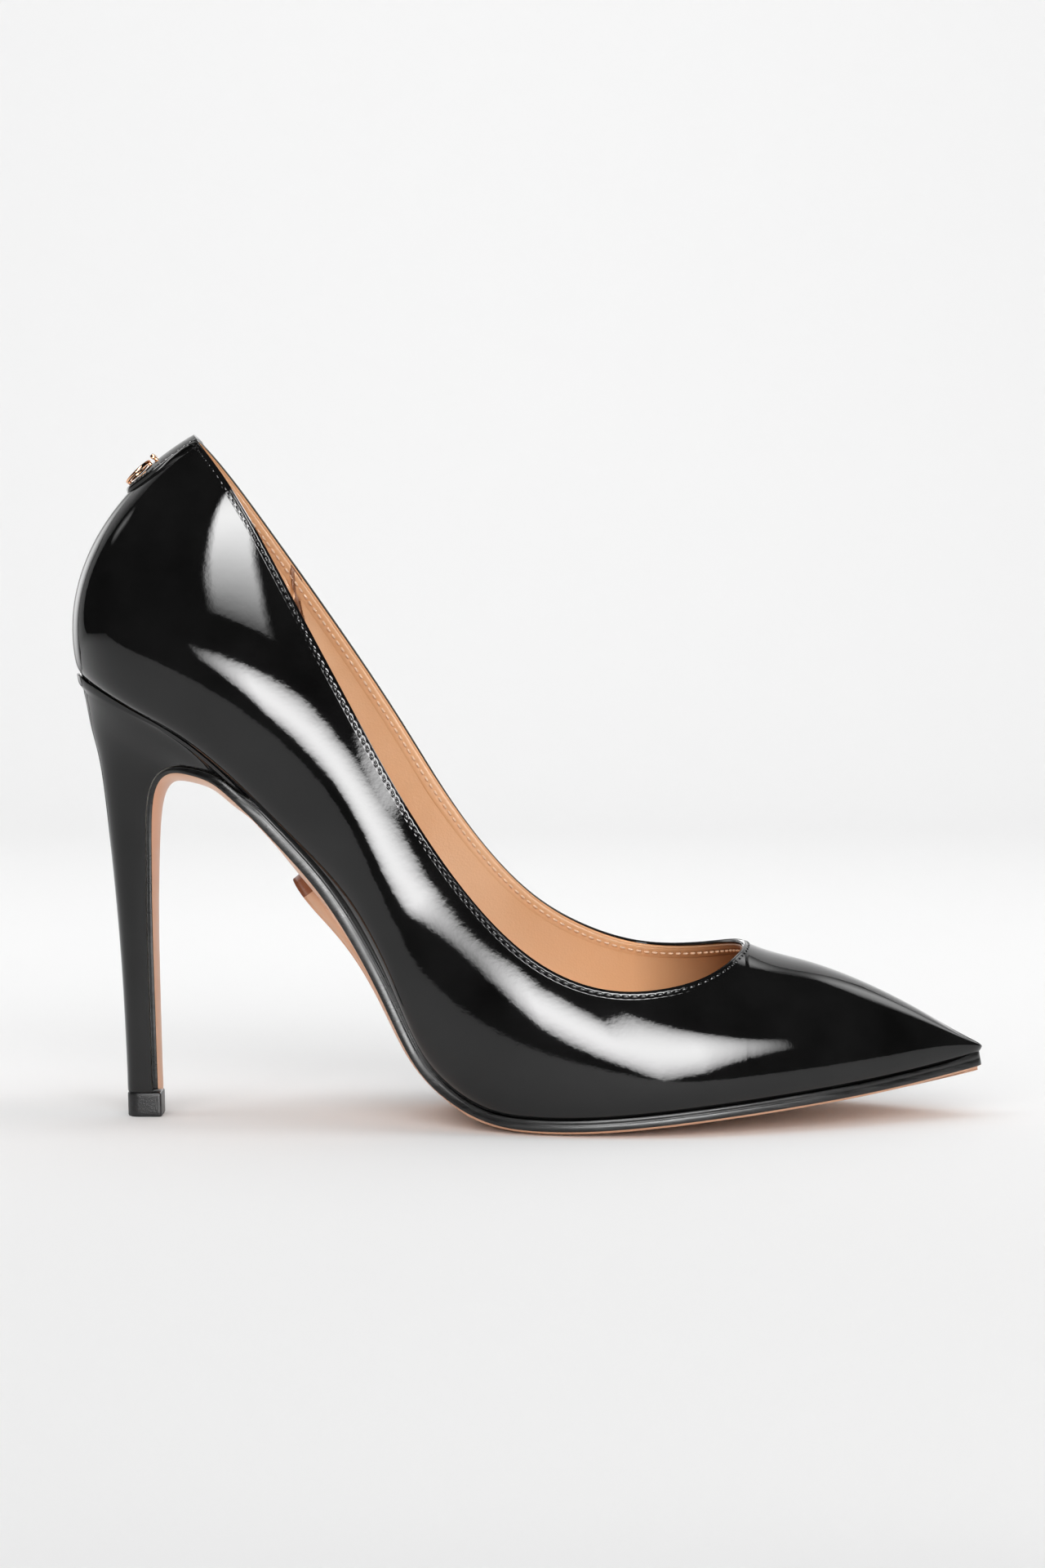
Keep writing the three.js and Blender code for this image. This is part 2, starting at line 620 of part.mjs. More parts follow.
function makeHeelBlock() {
  const soup = new Soup();
  const depth = COVER_THICKNESS + GAP;
  const rowsOf = (level) => AROUND.map((t) => SIDES.map((side) => heelInset(side, t, level, depth)));
  for (const side of SIDES) {
    soup.grid(AROUND.map((t) => LEVELS.map((level) => heelInset(side, t, level, depth))), side === OUTER);
  }
  const cap = (level, sag) => rowsOf(level).map((ends) => steps(0, 1, 4).map((f) => {
    const point = ends[0].clone().lerp(ends[1], f);
    point.z -= sag(point.x) * (1 - (2 * f - 1) ** 2);
    return point;
  }));
  const seatSag = (x) => crownAt(x) * 1.2;
  soup.grid(cap(0, seatSag));
  soup.grid(cap(ARCH_END, () => 0), true);
  const breast = LEVELS.map((level) => {
    const row = archRow(level);
    const ends = SIDES.map((side) => heelInset(side, 1, level, depth));
    const sag = level === 0 ? 0 : row.crown;
    return steps(0, 1, 4).map((f) => {
      const point = ends[0].clone().lerp(ends[1], f);
      const bow = 1 - (2 * f - 1) ** 2;
      if (level === 0) point.z -= seatSag(point.x) * bow;
      else if (level < ARCH_END) point.addScaledVector(row.normal, -sag * bow);
      return point;
    });
  });
  soup.grid(breast);
  return soup.geometry();
}

// ---- booleans ----
function toSolid(geometry) {
  const bare = geometry.clone();
  bare.deleteAttribute('normal');
  bare.deleteAttribute('uv');
  const merged = mergeVertices(bare, 1e-3);
  const index = merged.getIndex().array;
  const triVerts = new Uint32Array([...index]);
  const kept = [];
  for (let i = 0; i < triVerts.length; i += 3) {
    const [a, b, c] = [triVerts[i], triVerts[i + 1], triVerts[i + 2]];
    if (a !== b && b !== c && c !== a) kept.push(a, b, c);
  }
  return new wasm.Manifold(new wasm.Mesh({
    numProp: 3,
    vertProperties: new Float32Array(merged.getAttribute('position').array),
    triVerts: new Uint32Array(kept),
  }));
}

function fromSolid(solid) {
  const mesh = solid.getMesh();
  const geometry = new THREE.BufferGeometry();
  geometry.setAttribute('position', new THREE.BufferAttribute(new Float32Array(mesh.vertProperties), 3));
  geometry.setIndex(new THREE.BufferAttribute(new Uint32Array(mesh.triVerts), 1));
  return geometry;
}

const cutFrom = (geometry, ...tools) =>
  fromSolid(tools.reduce((solid, tool) => solid.subtract(toSolid(tool)), toSolid(geometry)));

// ---- turned parts, placed with their axis from a point along a direction ----
function turned(profile, from, direction, segments = 16) {
  const points = profile.map(([r, z]) => new THREE.Vector2(r, z));
  const geometry = new THREE.LatheGeometry(points, segments);
  const turn = new THREE.Quaternion()
    .setFromUnitVectors(new THREE.Vector3(0, 1, 0), direction.clone().normalize());
  geometry.applyQuaternion(turn);
  geometry.translate(from.x, from.y, from.z);
  return geometry;
}

const rod = (radius, length, from, direction, segments = 14) =>
  turned([[0, 0], [radius, 0], [radius, length], [0, length]], from, direction, segments);

// Centre line of the stem, from the lift up.
const STEM_FOOT = new THREE.Vector3(-99.6, 0, LIFT_HEIGHT + 0.8);
const STEM_DIRECTION = new THREE.Vector3(-2.2, 0, 62).normalize();
const TUBE_LENGTH = 62;
const TUBE_OUTER = 1.75;
const TUBE_INNER = 1.25;
const PIN_RADIUS = 0.95;
const PIN_LENGTH = 15;
const PIN_IN_LIFT = 4;

const makeHeelTube = () => turned([[TUBE_INNER, 0], [TUBE_OUTER, 0], [TUBE_OUTER, TUBE_LENGTH],
  [TUBE_INNER, TUBE_LENGTH], [TUBE_INNER, 0]], STEM_FOOT, STEM_DIRECTION, 14);
const pinFoot = STEM_FOOT.clone().addScaledVector(STEM_DIRECTION, -PIN_IN_LIFT - 0.6);
const makeLiftPin = () => rod(PIN_RADIUS, PIN_LENGTH, pinFoot, STEM_DIRECTION);

function makeTopLift() {
  const half = LIFT_WIDTH / 2;
  const round = 3.2;
  const corner = 0.8;
  const outline = new THREE.Shape();
  outline.moveTo(-LIFT_LENGTH / 2 + round, -half);
  outline.lineTo(LIFT_LENGTH / 2 - corner, -half);
  outline.absarc(LIFT_LENGTH / 2 - corner, -half + corner, corner, -Math.PI / 2, 0);
  outline.lineTo(LIFT_LENGTH / 2, half - corner);
  outline.absarc(LIFT_LENGTH / 2 - corner, half - corner, corner, 0, Math.PI / 2);
  outline.lineTo(-LIFT_LENGTH / 2 + round, half);
  outline.absarc(-LIFT_LENGTH / 2 + round, half - round, round, Math.PI / 2, Math.PI);
  outline.absarc(-LIFT_LENGTH / 2 + round, -half + round, round, Math.PI, Math.PI * 1.5);
  const bevel = 0.4;
  const block = new THREE.ExtrudeGeometry(outline, {
    depth: LIFT_HEIGHT - 2 * bevel, bevelThickness: bevel, bevelSize: bevel, bevelOffset: -bevel,
    bevelSegments: 1, curveSegments: 5,
  });
  block.translate(LIFT_CENTRE_X, 0, bevel);
  const boreFoot = pinFoot.clone().addScaledVector(STEM_DIRECTION, -GAP);
  const bore = rod(PIN_RADIUS + GAP, PIN_LENGTH, boreFoot, STEM_DIRECTION);
  return cutFrom(block, bore);
}

// ---- fasteners driven from the insole into the heel ----
const seatPoint = (x, y, height) =>
  new THREE.Vector3(x, y, featherZ(x)).addScaledVector(profileNormal(x), height);
const SCREW_X = -97;
const SCREW_RADIUS = 1.7;
const SCREW_LENGTH = 20;
const SCREW_HEAD = 3.4;
const screwTop = seatPoint(SCREW_X, 0, SHANK_BOARD_TOP - 1);
const screwDown = profileNormal(SCREW_X).negate();
const screwShape = (extra, lift) => turned([
  [0, -lift], [SCREW_HEAD + extra, -lift], [SCREW_HEAD + extra, 0.6], [SCREW_RADIUS + extra, 2],
  [SCREW_RADIUS + extra, SCREW_LENGTH + extra], [0, SCREW_LENGTH + extra],
], screwTop, screwDown);
const NAIL_PLACES = [[-101, -6], [-101, 6], [-86, -8], [-86, 8]];
const NAIL_RADIUS = 0.8;
const NAIL_LENGTH = 9;
const nailShape = ([x, y], extra, lift) => {
  const top = seatPoint(x, y, SHANK_BOARD_TOP - 1.1);
  return turned([[0, -lift], [NAIL_RADIUS * 2 + extra, -lift], [NAIL_RADIUS * 2 + extra, 0.5],
    [NAIL_RADIUS + extra, 0.5], [NAIL_RADIUS + extra, NAIL_LENGTH + extra], [0, NAIL_LENGTH + extra]],
  top, profileNormal(x).negate(), 10);
};
const RIVET_STATIONS = { rear: -76, front: -37 };
const rivetShape = (x, extra, lift) => turned([
  [0, -lift], [3 + extra, -lift], [3 + extra, 0.7], [1.3 + extra, 0.7], [1.3 + extra, 2.5 + extra],
  [0, 2.5 + extra],
], seatPoint(x, 0, SHANK_BOARD_TOP - 1.2), profileNormal(x).negate(), 12);

const fastenerHoles = () => [screwShape(GAP, 3), ...NAIL_PLACES.map((place) => nailShape(place, GAP, 3)),
  ...Object.values(RIVET_STATIONS).map((x) => rivetShape(x, GAP, 3))];

const makeDrilledBoard = () => cutFrom(makeShankBoard(), ...fastenerHoles());
const makeDrilledShank = () => cutFrom(makeSteelShank(), screwShape(GAP, 3),
  ...Object.values(RIVET_STATIONS).map((x) => rivetShape(x, GAP, 3)));
const tubeHoleFoot = STEM_FOOT.clone().addScaledVector(STEM_DIRECTION, -4);
const makeHeelCore = () => cutFrom(makeHeelBlock(), screwShape(GAP, 3),
  ...NAIL_PLACES.map((place) => nailShape(place, GAP, 3)),
  rod(TUBE_OUTER + GAP, TUBE_LENGTH + GAP + 4, tubeHoleFoot, STEM_DIRECTION));

// ---- the ornament on the heel tab: a ring and a cross bar, each on posts ----
const RING_RADIUS = 3.5;
const RING_TUBE = 0.55;
const STAND = 1;
const RING_DROP = 0.17;
const BAR_OFFSET = 5.4;
const BAR_LENGTH = 5.6;
const BAR_SIZE = 1.2;
const POST_RADIUS = 0.55;
const ringLevel = topOf(OUTER, 0) - RING_DROP;
const tabFace = lastNormal(OUTER, 0, ringLevel);
const tabUp = new THREE.Vector3(tabFace.z, 0, -tabFace.x);
const ringCentre = onLast(OUTER, 0, ringLevel).addScaledVector(tabFace, GAP + TAB_THICKNESS + STAND);
const barPlace = ringCentre.clone().addScaledVector(tabUp, BAR_OFFSET);
const faceAlong = (axis) => new THREE.Quaternion().setFromUnitVectors(axis, tabFace);

function makeRing() {
  const ring = new THREE.TorusGeometry(RING_RADIUS, RING_TUBE, 8, 28);
  ring.applyQuaternion(faceAlong(new THREE.Vector3(0, 0, 1)));
  return ring.translate(ringCentre.x, ringCentre.y, ringCentre.z);
}

function makeOrnamentBar() {
  const bar = new THREE.BoxGeometry(BAR_SIZE, BAR_LENGTH, BAR_SIZE);
  bar.applyQuaternion(faceAlong(new THREE.Vector3(1, 0, 0)));
  return bar.translate(barPlace.x, barPlace.y, barPlace.z);
}

const POST_PLACES = [[-RING_RADIUS, RING_TUBE], [RING_RADIUS, RING_TUBE], [BAR_OFFSET, BAR_SIZE / 2]];
const inward = tabFace.clone().negate();
const postTop = ([offset, half]) => ringCentre.clone().addScaledVector(tabUp, offset)
  .addScaledVector(inward, half + GAP);
const makePost = (place) => rod(POST_RADIUS, STAND + 0.2 - place[1], postTop(place), inward, 10);
const postHole = (place) => rod(POST_RADIUS + GAP, 4, postTop(place), inward, 10);
const makeTab = () => cutFrom(makeHeelTab(), ...POST_PLACES.map(postHole));

// ---- finishes and assembly ----
const finish = (color, roughness, metalness = 0) =>
  () => new THREE.MeshStandardMaterial({ color, roughness, metalness });
const patent = finish(0x0b0b0c, 0.08);
const nude = finish(0xc99a70, 0.6);
const soleNude = finish(0xe6b79a, 0.45);
const steel = finish(0xa8a8a8, 0.35, 1);
const gold = finish(0xc58f63, 0.25, 1);
const board = finish(0x8a6a48, 0.9);
const foam = finish(0xe8e0cf, 0.95);
const felt = finish(0x6d6257, 0.95);
const plastic = finish(0xd8d4c8, 0.5);
const blackRubber = finish(0x111111, 0.5);

const PIECES = [
  ['quarter_outer', () => makeQuarter(OUTER), patent],
  ['quarter_inner', () => makeQuarter(INNER), patent],
  ['vamp', makeVamp, patent],
  ['heel_tab', makeTab, patent],
  ['quarter_lining', makeQuarterLining, nude],
  ['vamp_lining', makeVampLining, nude],
  ['heel_counter', makeHeelCounter, board],
  ['toe_puff', makeToePuff, board],
  ['sock', makeSock, nude],
  ['sock_foam', makeSockFoam, foam],
  ['insole_board', makeInsoleBoard, board],
  ['shank_board', makeDrilledBoard, board],
  ['steel_shank', makeDrilledShank, steel],
  ['shank_rivet_rear', () => rivetShape(RIVET_STATIONS.rear, 0, 0), steel],
  ['shank_rivet_front', () => rivetShape(RIVET_STATIONS.front, 0, 0), steel],
  ['bottom_filler', makeBottomFiller, felt],
  ['outsole', makeOutsole, soleNude],
  ['forepart_tread', makeForepartTread, soleNude],
  ['heel_core', makeHeelCore, plastic],
  ['heel_cover', makeHeelCover, patent],
  ['heel_tube', makeHeelTube, steel],
  ['top_lift', makeTopLift, blackRubber],
  ['top_lift_pin', makeLiftPin, steel],
  ['heel_screw', () => screwShape(0, 0), steel],
  ...NAIL_PLACES.map((place, i) => [`heel_nail_${i + 1}`, () => nailShape(place, 0, 0), steel]),
  ['ornament_ring', makeRing, gold],
  ['ornament_bar', makeOrnamentBar, gold],
  ...POST_PLACES.map((place, i) => [`ornament_post_${i + 1}`, () => makePost(place), gold]),
];

const pump = new THREE.Group();
for (const [name, make, material] of PIECES) {
  const mesh = new THREE.Mesh(make(), material());
  mesh.name = name;
  pump.add(mesh);
}

export default pump;
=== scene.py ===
"""Pointed stiletto pump: the visual model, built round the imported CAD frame."""
import math
import bmesh
import bpy
import numpy as np
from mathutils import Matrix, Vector


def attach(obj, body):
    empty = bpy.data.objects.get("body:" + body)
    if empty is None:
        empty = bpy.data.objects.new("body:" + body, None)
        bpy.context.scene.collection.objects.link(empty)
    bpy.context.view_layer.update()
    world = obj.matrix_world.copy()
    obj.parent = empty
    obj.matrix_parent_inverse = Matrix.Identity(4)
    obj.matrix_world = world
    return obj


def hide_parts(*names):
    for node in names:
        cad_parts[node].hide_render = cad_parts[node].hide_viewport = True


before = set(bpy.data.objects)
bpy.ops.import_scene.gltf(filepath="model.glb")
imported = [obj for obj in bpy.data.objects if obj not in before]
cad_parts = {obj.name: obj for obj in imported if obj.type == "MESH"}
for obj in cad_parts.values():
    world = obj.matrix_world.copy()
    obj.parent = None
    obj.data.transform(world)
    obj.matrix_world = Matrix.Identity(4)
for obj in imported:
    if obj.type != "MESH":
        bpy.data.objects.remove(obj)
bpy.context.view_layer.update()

MM = 0.001
OUTER, INNER = -1, 1
THROAT, TOE = 9, 13
UPPER_LIFT = 0.3
ROOT = "root"


# ---- smooth curves ----
class Spline:
    """A smooth curve through values at knots, straight beyond its ends."""

    def __init__(self, knots, values, start=None, end=None):
        self.k = np.array(knots, float)
        self.v = np.array(values, float)
        n = len(self.k)
        self.h = np.diff(self.k)
        rise = np.diff(self.v) / self.h
        matrix = np.zeros((n, n))
        right = np.zeros(n)
        for i in range(n):
            if i > 0:
                matrix[i, i - 1] += 1 / self.h[i - 1]
                matrix[i, i] += 2 / self.h[i - 1]
                right[i] += 3 * rise[i - 1] / self.h[i - 1]
            if i < n - 1:
                matrix[i, i + 1] += 1 / self.h[i]
                matrix[i, i] += 2 / self.h[i]
                right[i] += 3 * rise[i] / self.h[i]
        for row, slope in ((0, start), (n - 1, end)):
            if slope is not None:
                matrix[row] = 0
                matrix[row, row] = 1
                right[row] = slope
        self.m = np.linalg.solve(matrix, right)

    def __call__(self, t):
        t = np.asarray(t, float)
        i = np.clip(np.searchsorted(self.k, t, side="right") - 1, 0, len(self.h) - 1)
        s = np.clip((t - self.k[i]) / self.h[i], 0, 1)
        inside = (self.v[i] * (1 + 2 * s) * (1 - s) ** 2 + self.v[i + 1] * s * s * (3 - 2 * s)
                  + self.h[i] * s * (1 - s) * (self.m[i] * (1 - s) - self.m[i + 1] * s))
        before = np.minimum(t - self.k[0], 0) * self.m[0]
        after = np.maximum(t - self.k[-1], 0) * self.m[-1]
        return inside + before + after

    def slope(self, t):
        t = np.asarray(t, float)
        return (self(t + 1e-3) - self(t - 1e-3)) / 2e-3


def through(points, start=None, end=None):
    return Spline([p[0] for p in points], [p[1] for p in points], start, end)


def smooth(a, b, t):
    s = np.clip((np.asarray(t, float) - a) / (b - a), 0, 1)
    return s * s * (3 - 2 * s)


def unit(vectors):
    vectors = np.asarray(vectors, float)
    return vectors / np.maximum(np.linalg.norm(vectors, axis=-1, keepdims=True), 1e-12)


# ---- the last, as in the CAD: stations run from the heel (0) to the tip of the toe (13) ----
STATIONS = list(range(14))
FEATHER_X = Spline(STATIONS, [-113, -109.4, -100, -85, -66, -47, -28, -7, 16, 40, 64, 87, 104.5, 112.8], 0, 0)
FEATHER_Y = {
    OUTER: Spline(STATIONS, [0, 11.6, 19.4, 22, 20.6, 18.2, 21, 30, 35.3, 33.8, 26, 15, 5.6, 0], 12.5, -5.6),
    INNER: Spline(STATIONS, [0, 11.6, 19.2, 21, 17.6, 14.2, 15.6, 25, 33, 35, 29, 17.4, 6.2, 0], 12.5, -5.6),
}
FEATHER_Z = through([(-113, 111.8), (-100, 104.4), (-87, 97), (-75, 87), (-62, 73.4), (-50, 59.2), (-41, 45),
                     (-34, 31.5), (-27.5, 18.5), (-20, 10), (-11, 5), (0, 3.4), (15, 3.7), (40, 5.9),
                     (70, 8.8), (95, 11.8), (113, 14.8)])
BULGE_OUT = {
    OUTER: Spline(STATIONS, [2.4, 3, 4, 4.8, 6.6, 9.2, 8, 4.6, 2.7, 2.4, 2.2, 2, 2, 2]),
    INNER: Spline(STATIONS, [2.4, 3, 4, 4.8, 7, 9.5, 9.5, 6, 3.6, 3, 2.4, 2, 2, 2]),
}
BULGE_UP = Spline(STATIONS, [5.2, 5.4, 6, 7.6, 11.4, 20, 22, 13, 7.4, 8.4, 8.8, 7.6, 5, 2.6])
RIDGE_X = Spline(STATIONS, [-61, -60.4, -57, -50, -37, -18.5, 0, 18.5, 37, 54.1, 70, 87, 102.5, 112.6])
RIDGE_Z = Spline(STATIONS, [178.6, 178.6, 178.2, 176.4, 166.4, 143, 113, 82, 58, 44.3, 39.2, 32.8, 24.6,
                            17.6])
RIDGE_FULLNESS = Spline([0, 3, 6, 9, 13], [0.75, 0.8, 0.95, 1.05, 1.1])
FOOT_STATION = Spline([0, 3, 5, 7, 9, 11, 13], [0, 3, 5, 7.2, 9.5, 11.3, 13])
TOPLINE = {
    OUTER: through([(-85, 172.3), (-78, 164.2), (-67.5, 148.2), (-58.5, 131.6), (-45.7, 107.6),
                    (-32.6, 83.6), (-21, 65.8), (-9.3, 51.8), (0, 43.8), (10, 38.4), (22, 35.7),
                    (34, 36.3), (45, 39.3), (54.1, 44.3)]),
    INNER: through([(-85, 172.3), (-79.5, 165.4), (-67.8, 149.2), (-55.5, 131.9), (-43.5, 114.6),
                    (-32.3, 97.4), (-22, 80.8), (-9, 63.2), (0, 54.2), (13.7, 45.7), (28.6, 41.2),
                    (40, 41), (49.3, 42.7), (54.1, 44.3)]),
}


def outward_in_plan(side, a):
    tangent = unit(np.stack([FEATHER_X.slope(a), FEATHER_Y[side].slope(a)], -1))
    out = np.stack([-tangent[..., 1], tangent[..., 0]], -1)
    out[np.isclose(a, 0, atol=1e-9)] = (-1, 0)
    out[np.isclose(a, TOE, atol=1e-9)] = (1, 0)
    return out


def profile_normal(x):
    slope = FEATHER_Z.slope(x)
    return unit(np.stack([-slope, np.zeros_like(slope), np.ones_like(slope)], -1))


def last_frame(side, a):
    a = np.asarray(a, float)
    foot = FOOT_STATION(a)
    out = outward_in_plan(side, foot)
    zero = np.zeros_like(a)
    x = FEATHER_X(foot)
    feather = np.stack([x, FEATHER_Y[side](foot), FEATHER_Z(x)], -1) + profile_normal(x) * UPPER_LIFT
    reach = BULGE_OUT[side](foot)
    bulge = feather + np.stack([out[:, 0] * reach, out[:, 1] * reach, BULGE_UP(foot)], -1)
    ridge = np.stack([RIDGE_X(a), zero, RIDGE_Z(a)], -1)
    low = np.linalg.norm(bulge - feather, axis=-1)
    high = np.linalg.norm(ridge - bulge, axis=-1) * 1.12
    total = (low + high)[:, None]
    start = np.stack([out[:, 0] * 0.9, out[:, 1] * 0.9, zero + 0.45], -1) * total
    slope = smooth(6, THROAT, a) * RIDGE_Z.slope(a) / RIDGE_X.slope(a)
    run = ridge[:, 0] - bulge[:, 0]
    end = unit(np.stack([run, -bulge[:, 1], run * slope], -1)) * total * RIDGE_FULLNESS(a)[:, None]
    split = (low / (low + high))[:, None]
    rest = 1 - split
    pull = 3 * ((bulge - feather) / split ** 2 + (ridge - bulge) / rest ** 2)
    middle = (pull - start / split - end / rest) / (2 * (1 / split + 1 / rest))
    return {"feather": feather, "bulge": bulge, "ridge": ridge, "start": start, "middle": middle,
            "end": end, "split": split[:, 0]}


def hermite(p, q, dp, dq, length, s):
    s = s[..., None]
    return (p * (1 + 2 * s) * (1 - s) ** 2 + q * s * s * (3 - 2 * s)
            + length * s * (1 - s) * (dp * (1 - s) - dq * s))


def on_last(side, a, v):
    """Points of the upper's outer face: stations a (N), levels v (N, M)."""
    f = last_frame(side, a)
    part = {key: value[:, None] for key, value in f.items()}
    split = part["split"]
    low = hermite(part["feather"], part["bulge"], part["start"], part["middle"], split[..., None],
                  np.clip(v / split, 0, 1))
    high = hermite(part["bulge"], part["ridge"], part["middle"], part["end"], (1 - split)[..., None],
                   (v - split) / (1 - split))
    points = np.where((v < split)[..., None], low, high)
    points[..., 1] *= side
    return points


def last_normal(side, a, v):
    step = 1e-3
    along = on_last(side, a + step, v) - on_last(side, a - step, v)
    up = on_last(side, a, v + step) - on_last(side, a, v - step)
    normal = unit(np.cross(along, up)) * (1 if side == OUTER else -1)
    point = on_last(side, a, v)
    axis = np.stack([np.minimum(point[..., 0], 96), np.zeros(point.shape[:-1]),
                     np.full(point.shape[:-1], float(FEATHER_Z(96)) + 4.5)], -1)
    turn = smooth(10.8, 12.6, a)[:, None, None]
    normal = unit(normal * (1 - turn) + unit(point - axis) * turn)
    normal[np.isclose(a, 0, atol=1e-9) | np.isclose(a, TOE, atol=1e-9), :, 1] = 0
    normal[np.broadcast_to(np.isclose(v, 1, atol=1e-9), normal.shape[:2]), 1] = 0
    return unit(normal)


def top_of(side, a):
    """The level at which each station meets the topline; 1 from the throat on."""
    a = np.asarray(a, float)
    low = last_frame(side, a)["split"].copy()
    high = np.ones_like(a)
    for _ in range(34):
        v = (low + high) / 2
        p = on_last(side, a, v[:, None])[:, 0]
        edge = np.where(np.isclose(a, 0), TOPLINE[OUTER](p[:, 0]), TOPLINE[side](p[:, 0]))
        above = p[:, 2] > edge
        high = np.where(above, v, high)
        low = np.where(above, low, v)
    return np.where(a >= THROAT, 1.0, high)


def height_of(side, a, height):
    """The level at which each station stands a height above the feather line."""
    a = np.asarray(a, float)
    base = on_last(side, a, np.zeros((len(a), 1)))[:, 0, 2]
    low = np.zeros_like(a)
    high = np.ones_like(a)
    for _ in range(30):
        v = (low + high) / 2
        above = on_last(side, a, v[:, None])[:, 0, 2] > base + height
        high = np.where(above, v, high)
        low = np.where(above, low, v)
    return high


# ---- meshes ----
def new_piece(name, verts, faces, materials, slot, indices=None, weld=0.0, sharp=None):
    mesh = bpy.data.meshes.new(name)
    mesh.from_pydata((np.asarray(verts, float) * MM).tolist(), [], [list(map(int, f)) for f in faces])
    for look in materials:
        mesh.materials.append(look)
    if indices is not None:
        mesh.polygons.foreach_set("material_index", np.asarray(indices, np.int32))
    mesh.polygons.foreach_set("use_smooth", np.ones(len(mesh.polygons), bool))
    if weld:
        work = bmesh.new()
        work.from_mesh(mesh)
        bmesh.ops.remove_doubles(work, verts=work.verts, dist=weld * MM)
        bmesh.ops.dissolve_degenerate(work, edges=work.edges, dist=weld * MM * 0.2)
        work.to_mesh(mesh)
        work.free()
    if sharp is not None:
        mesh.set_sharp_from_angle(angle=math.radians(sharp))
    mesh.update()
    piece = bpy.data.objects.new(name, mesh)
    bpy.context.scene.collection.objects.link(piece)
    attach(piece, ROOT)
    return piece


class Builder:
    """Collects grids of points into one mesh."""

    def __init__(self):
        self.verts = []
        self.faces = []
        self.kinds = []
        self.count = 0

    def grid(self, points, flip=False, close=False, kind=0):
        rows, cols = points.shape[:2]
        index = np.arange(rows * cols).reshape(rows, cols) + self.count
        if close:
            index = np.concatenate([index, index[:, :1]], 1)
        a, b, c, d = index[:-1, :-1], index[1:, :-1], index[1:, 1:], index[:-1, 1:]
        quads = np.stack([a, d, c, b] if flip else [a, b, c, d], -1).reshape(-1, 4)
        kinds = np.broadcast_to(np.asarray(kind), a.shape).reshape(-1)
        self.faces += quads.tolist()
        self.kinds += kinds.tolist()
        self.verts.append(points.reshape(-1, 3))
        self.count += rows * cols

    def fan(self, row, flip=False, close=True, kind=0):
        """Joins a row of points to its middle."""
        middle = np.broadcast_to(row.mean(axis=0), row.shape)
        self.grid(np.stack([row, middle], 0), flip=flip, close=close, kind=kind)

    def piece(self, name, materials, slot, **options):
        verts = np.concatenate(self.verts)
        return new_piece(name, verts, self.faces, materials, slot, indices=self.kinds, **options)


def shifted(side, a, v, depth):
    return on_last(side, a, v) - last_normal(side, a, v) * np.asarray(depth)[..., None]


QUARTER = np.concatenate([np.linspace(0, 7.6, 124)[:-1], 9 - 1.4 * (1 - np.linspace(0, 1, 64)) ** 2])
VAMP = np.concatenate([np.linspace(9, 12, 60)[1:], 13 - (1 - np.linspace(0, 1, 26)[1:]) ** 1.6])


def levels(low, split, high, lower_rows, upper_rows):
    """Rows of levels from low over the bulge at split to high, for each station."""
    s = np.linspace(0, 1, lower_rows + 1)[None]
    t = np.linspace(0, 1, upper_rows + 1)[None, 1:]
    lower = low[:, None] + (split - low)[:, None] * s
    upper = split[:, None] + (high - split)[:, None] * t
    return np.concatenate([lower, upper], 1)


# ---- materials ----
def material(name):
    made = bpy.data.materials.new(name)
    made.use_nodes = True
    return made, made.node_tree, made.node_tree.nodes["Principled BSDF"]


def node(tree, kind, **values):
    made = tree.nodes.new(kind)
    for key, value in values.items():
        if key in made.inputs:
            made.inputs[key].default_value = value
        else:
            setattr(made, key, value)
    return made


def coordinates(tree, scale):
    source = tree.nodes.new("ShaderNodeTexCoord")
    mapping = node(tree, "ShaderNodeMapping")
    mapping.inputs["Scale"].default_value = scale if isinstance(scale, tuple) else (scale,) * 3
    tree.links.new(source.outputs["Object"], mapping.inputs["Vector"])
    return mapping.outputs["Vector"]


def noise(tree, vector, scale, detail=3, rough=0.5):
    made = node(tree, "ShaderNodeTexNoise", Scale=scale, Detail=detail, Roughness=rough)
    tree.links.new(vector, made.inputs["Vector"])
    return made.outputs["Fac"]


def ramp(tree, source, stops):
    made = tree.nodes.new("ShaderNodeValToRGB")
    elements = made.color_ramp.elements
    while len(elements) < len(stops):
        elements.new(0.5)
    for element, (place, colour) in zip(elements, stops):
        element.position = place
        element.color = (*colour, 1) if len(colour) == 3 else colour
    tree.links.new(source, made.inputs["Fac"])
    return made.outputs["Color"]


def bump(tree, shader, source, strength, distance, previous=None):
    made = node(tree, "ShaderNodeBump", Strength=strength, Distance=distance)
    tree.links.new(source, made.inputs["Height"])
    if previous:
        tree.links.new(previous, made.inputs["Normal"])
    tree.links.new(made.outputs["Normal"], shader.inputs["Normal"])
    return made.outputs["Normal"]


def grey(v):
    return (v, v, v)


def patent_material():
    made, tree, shader = material("patent_leather")
    v = coordinates(tree, 1)
    shader.inputs["Roughness"].default_value = 0.04
    shader.inputs["IOR"].default_value = 1.5
    shader.inputs["Specular IOR Level"].default_value = 0.42
    tone = ramp(tree, noise(tree, v, 60), [(0.3, grey(0.004)), (0.7, grey(0.009))])
    tree.links.new(tone, shader.inputs["Base Color"])
    first = bump(tree, shader, noise(tree, v, 45, 2), 0.25, 0.0004)
    bump(tree, shader, noise(tree, v, 650, 4, 0.6), 0.08, 0.00012, first)
    return made


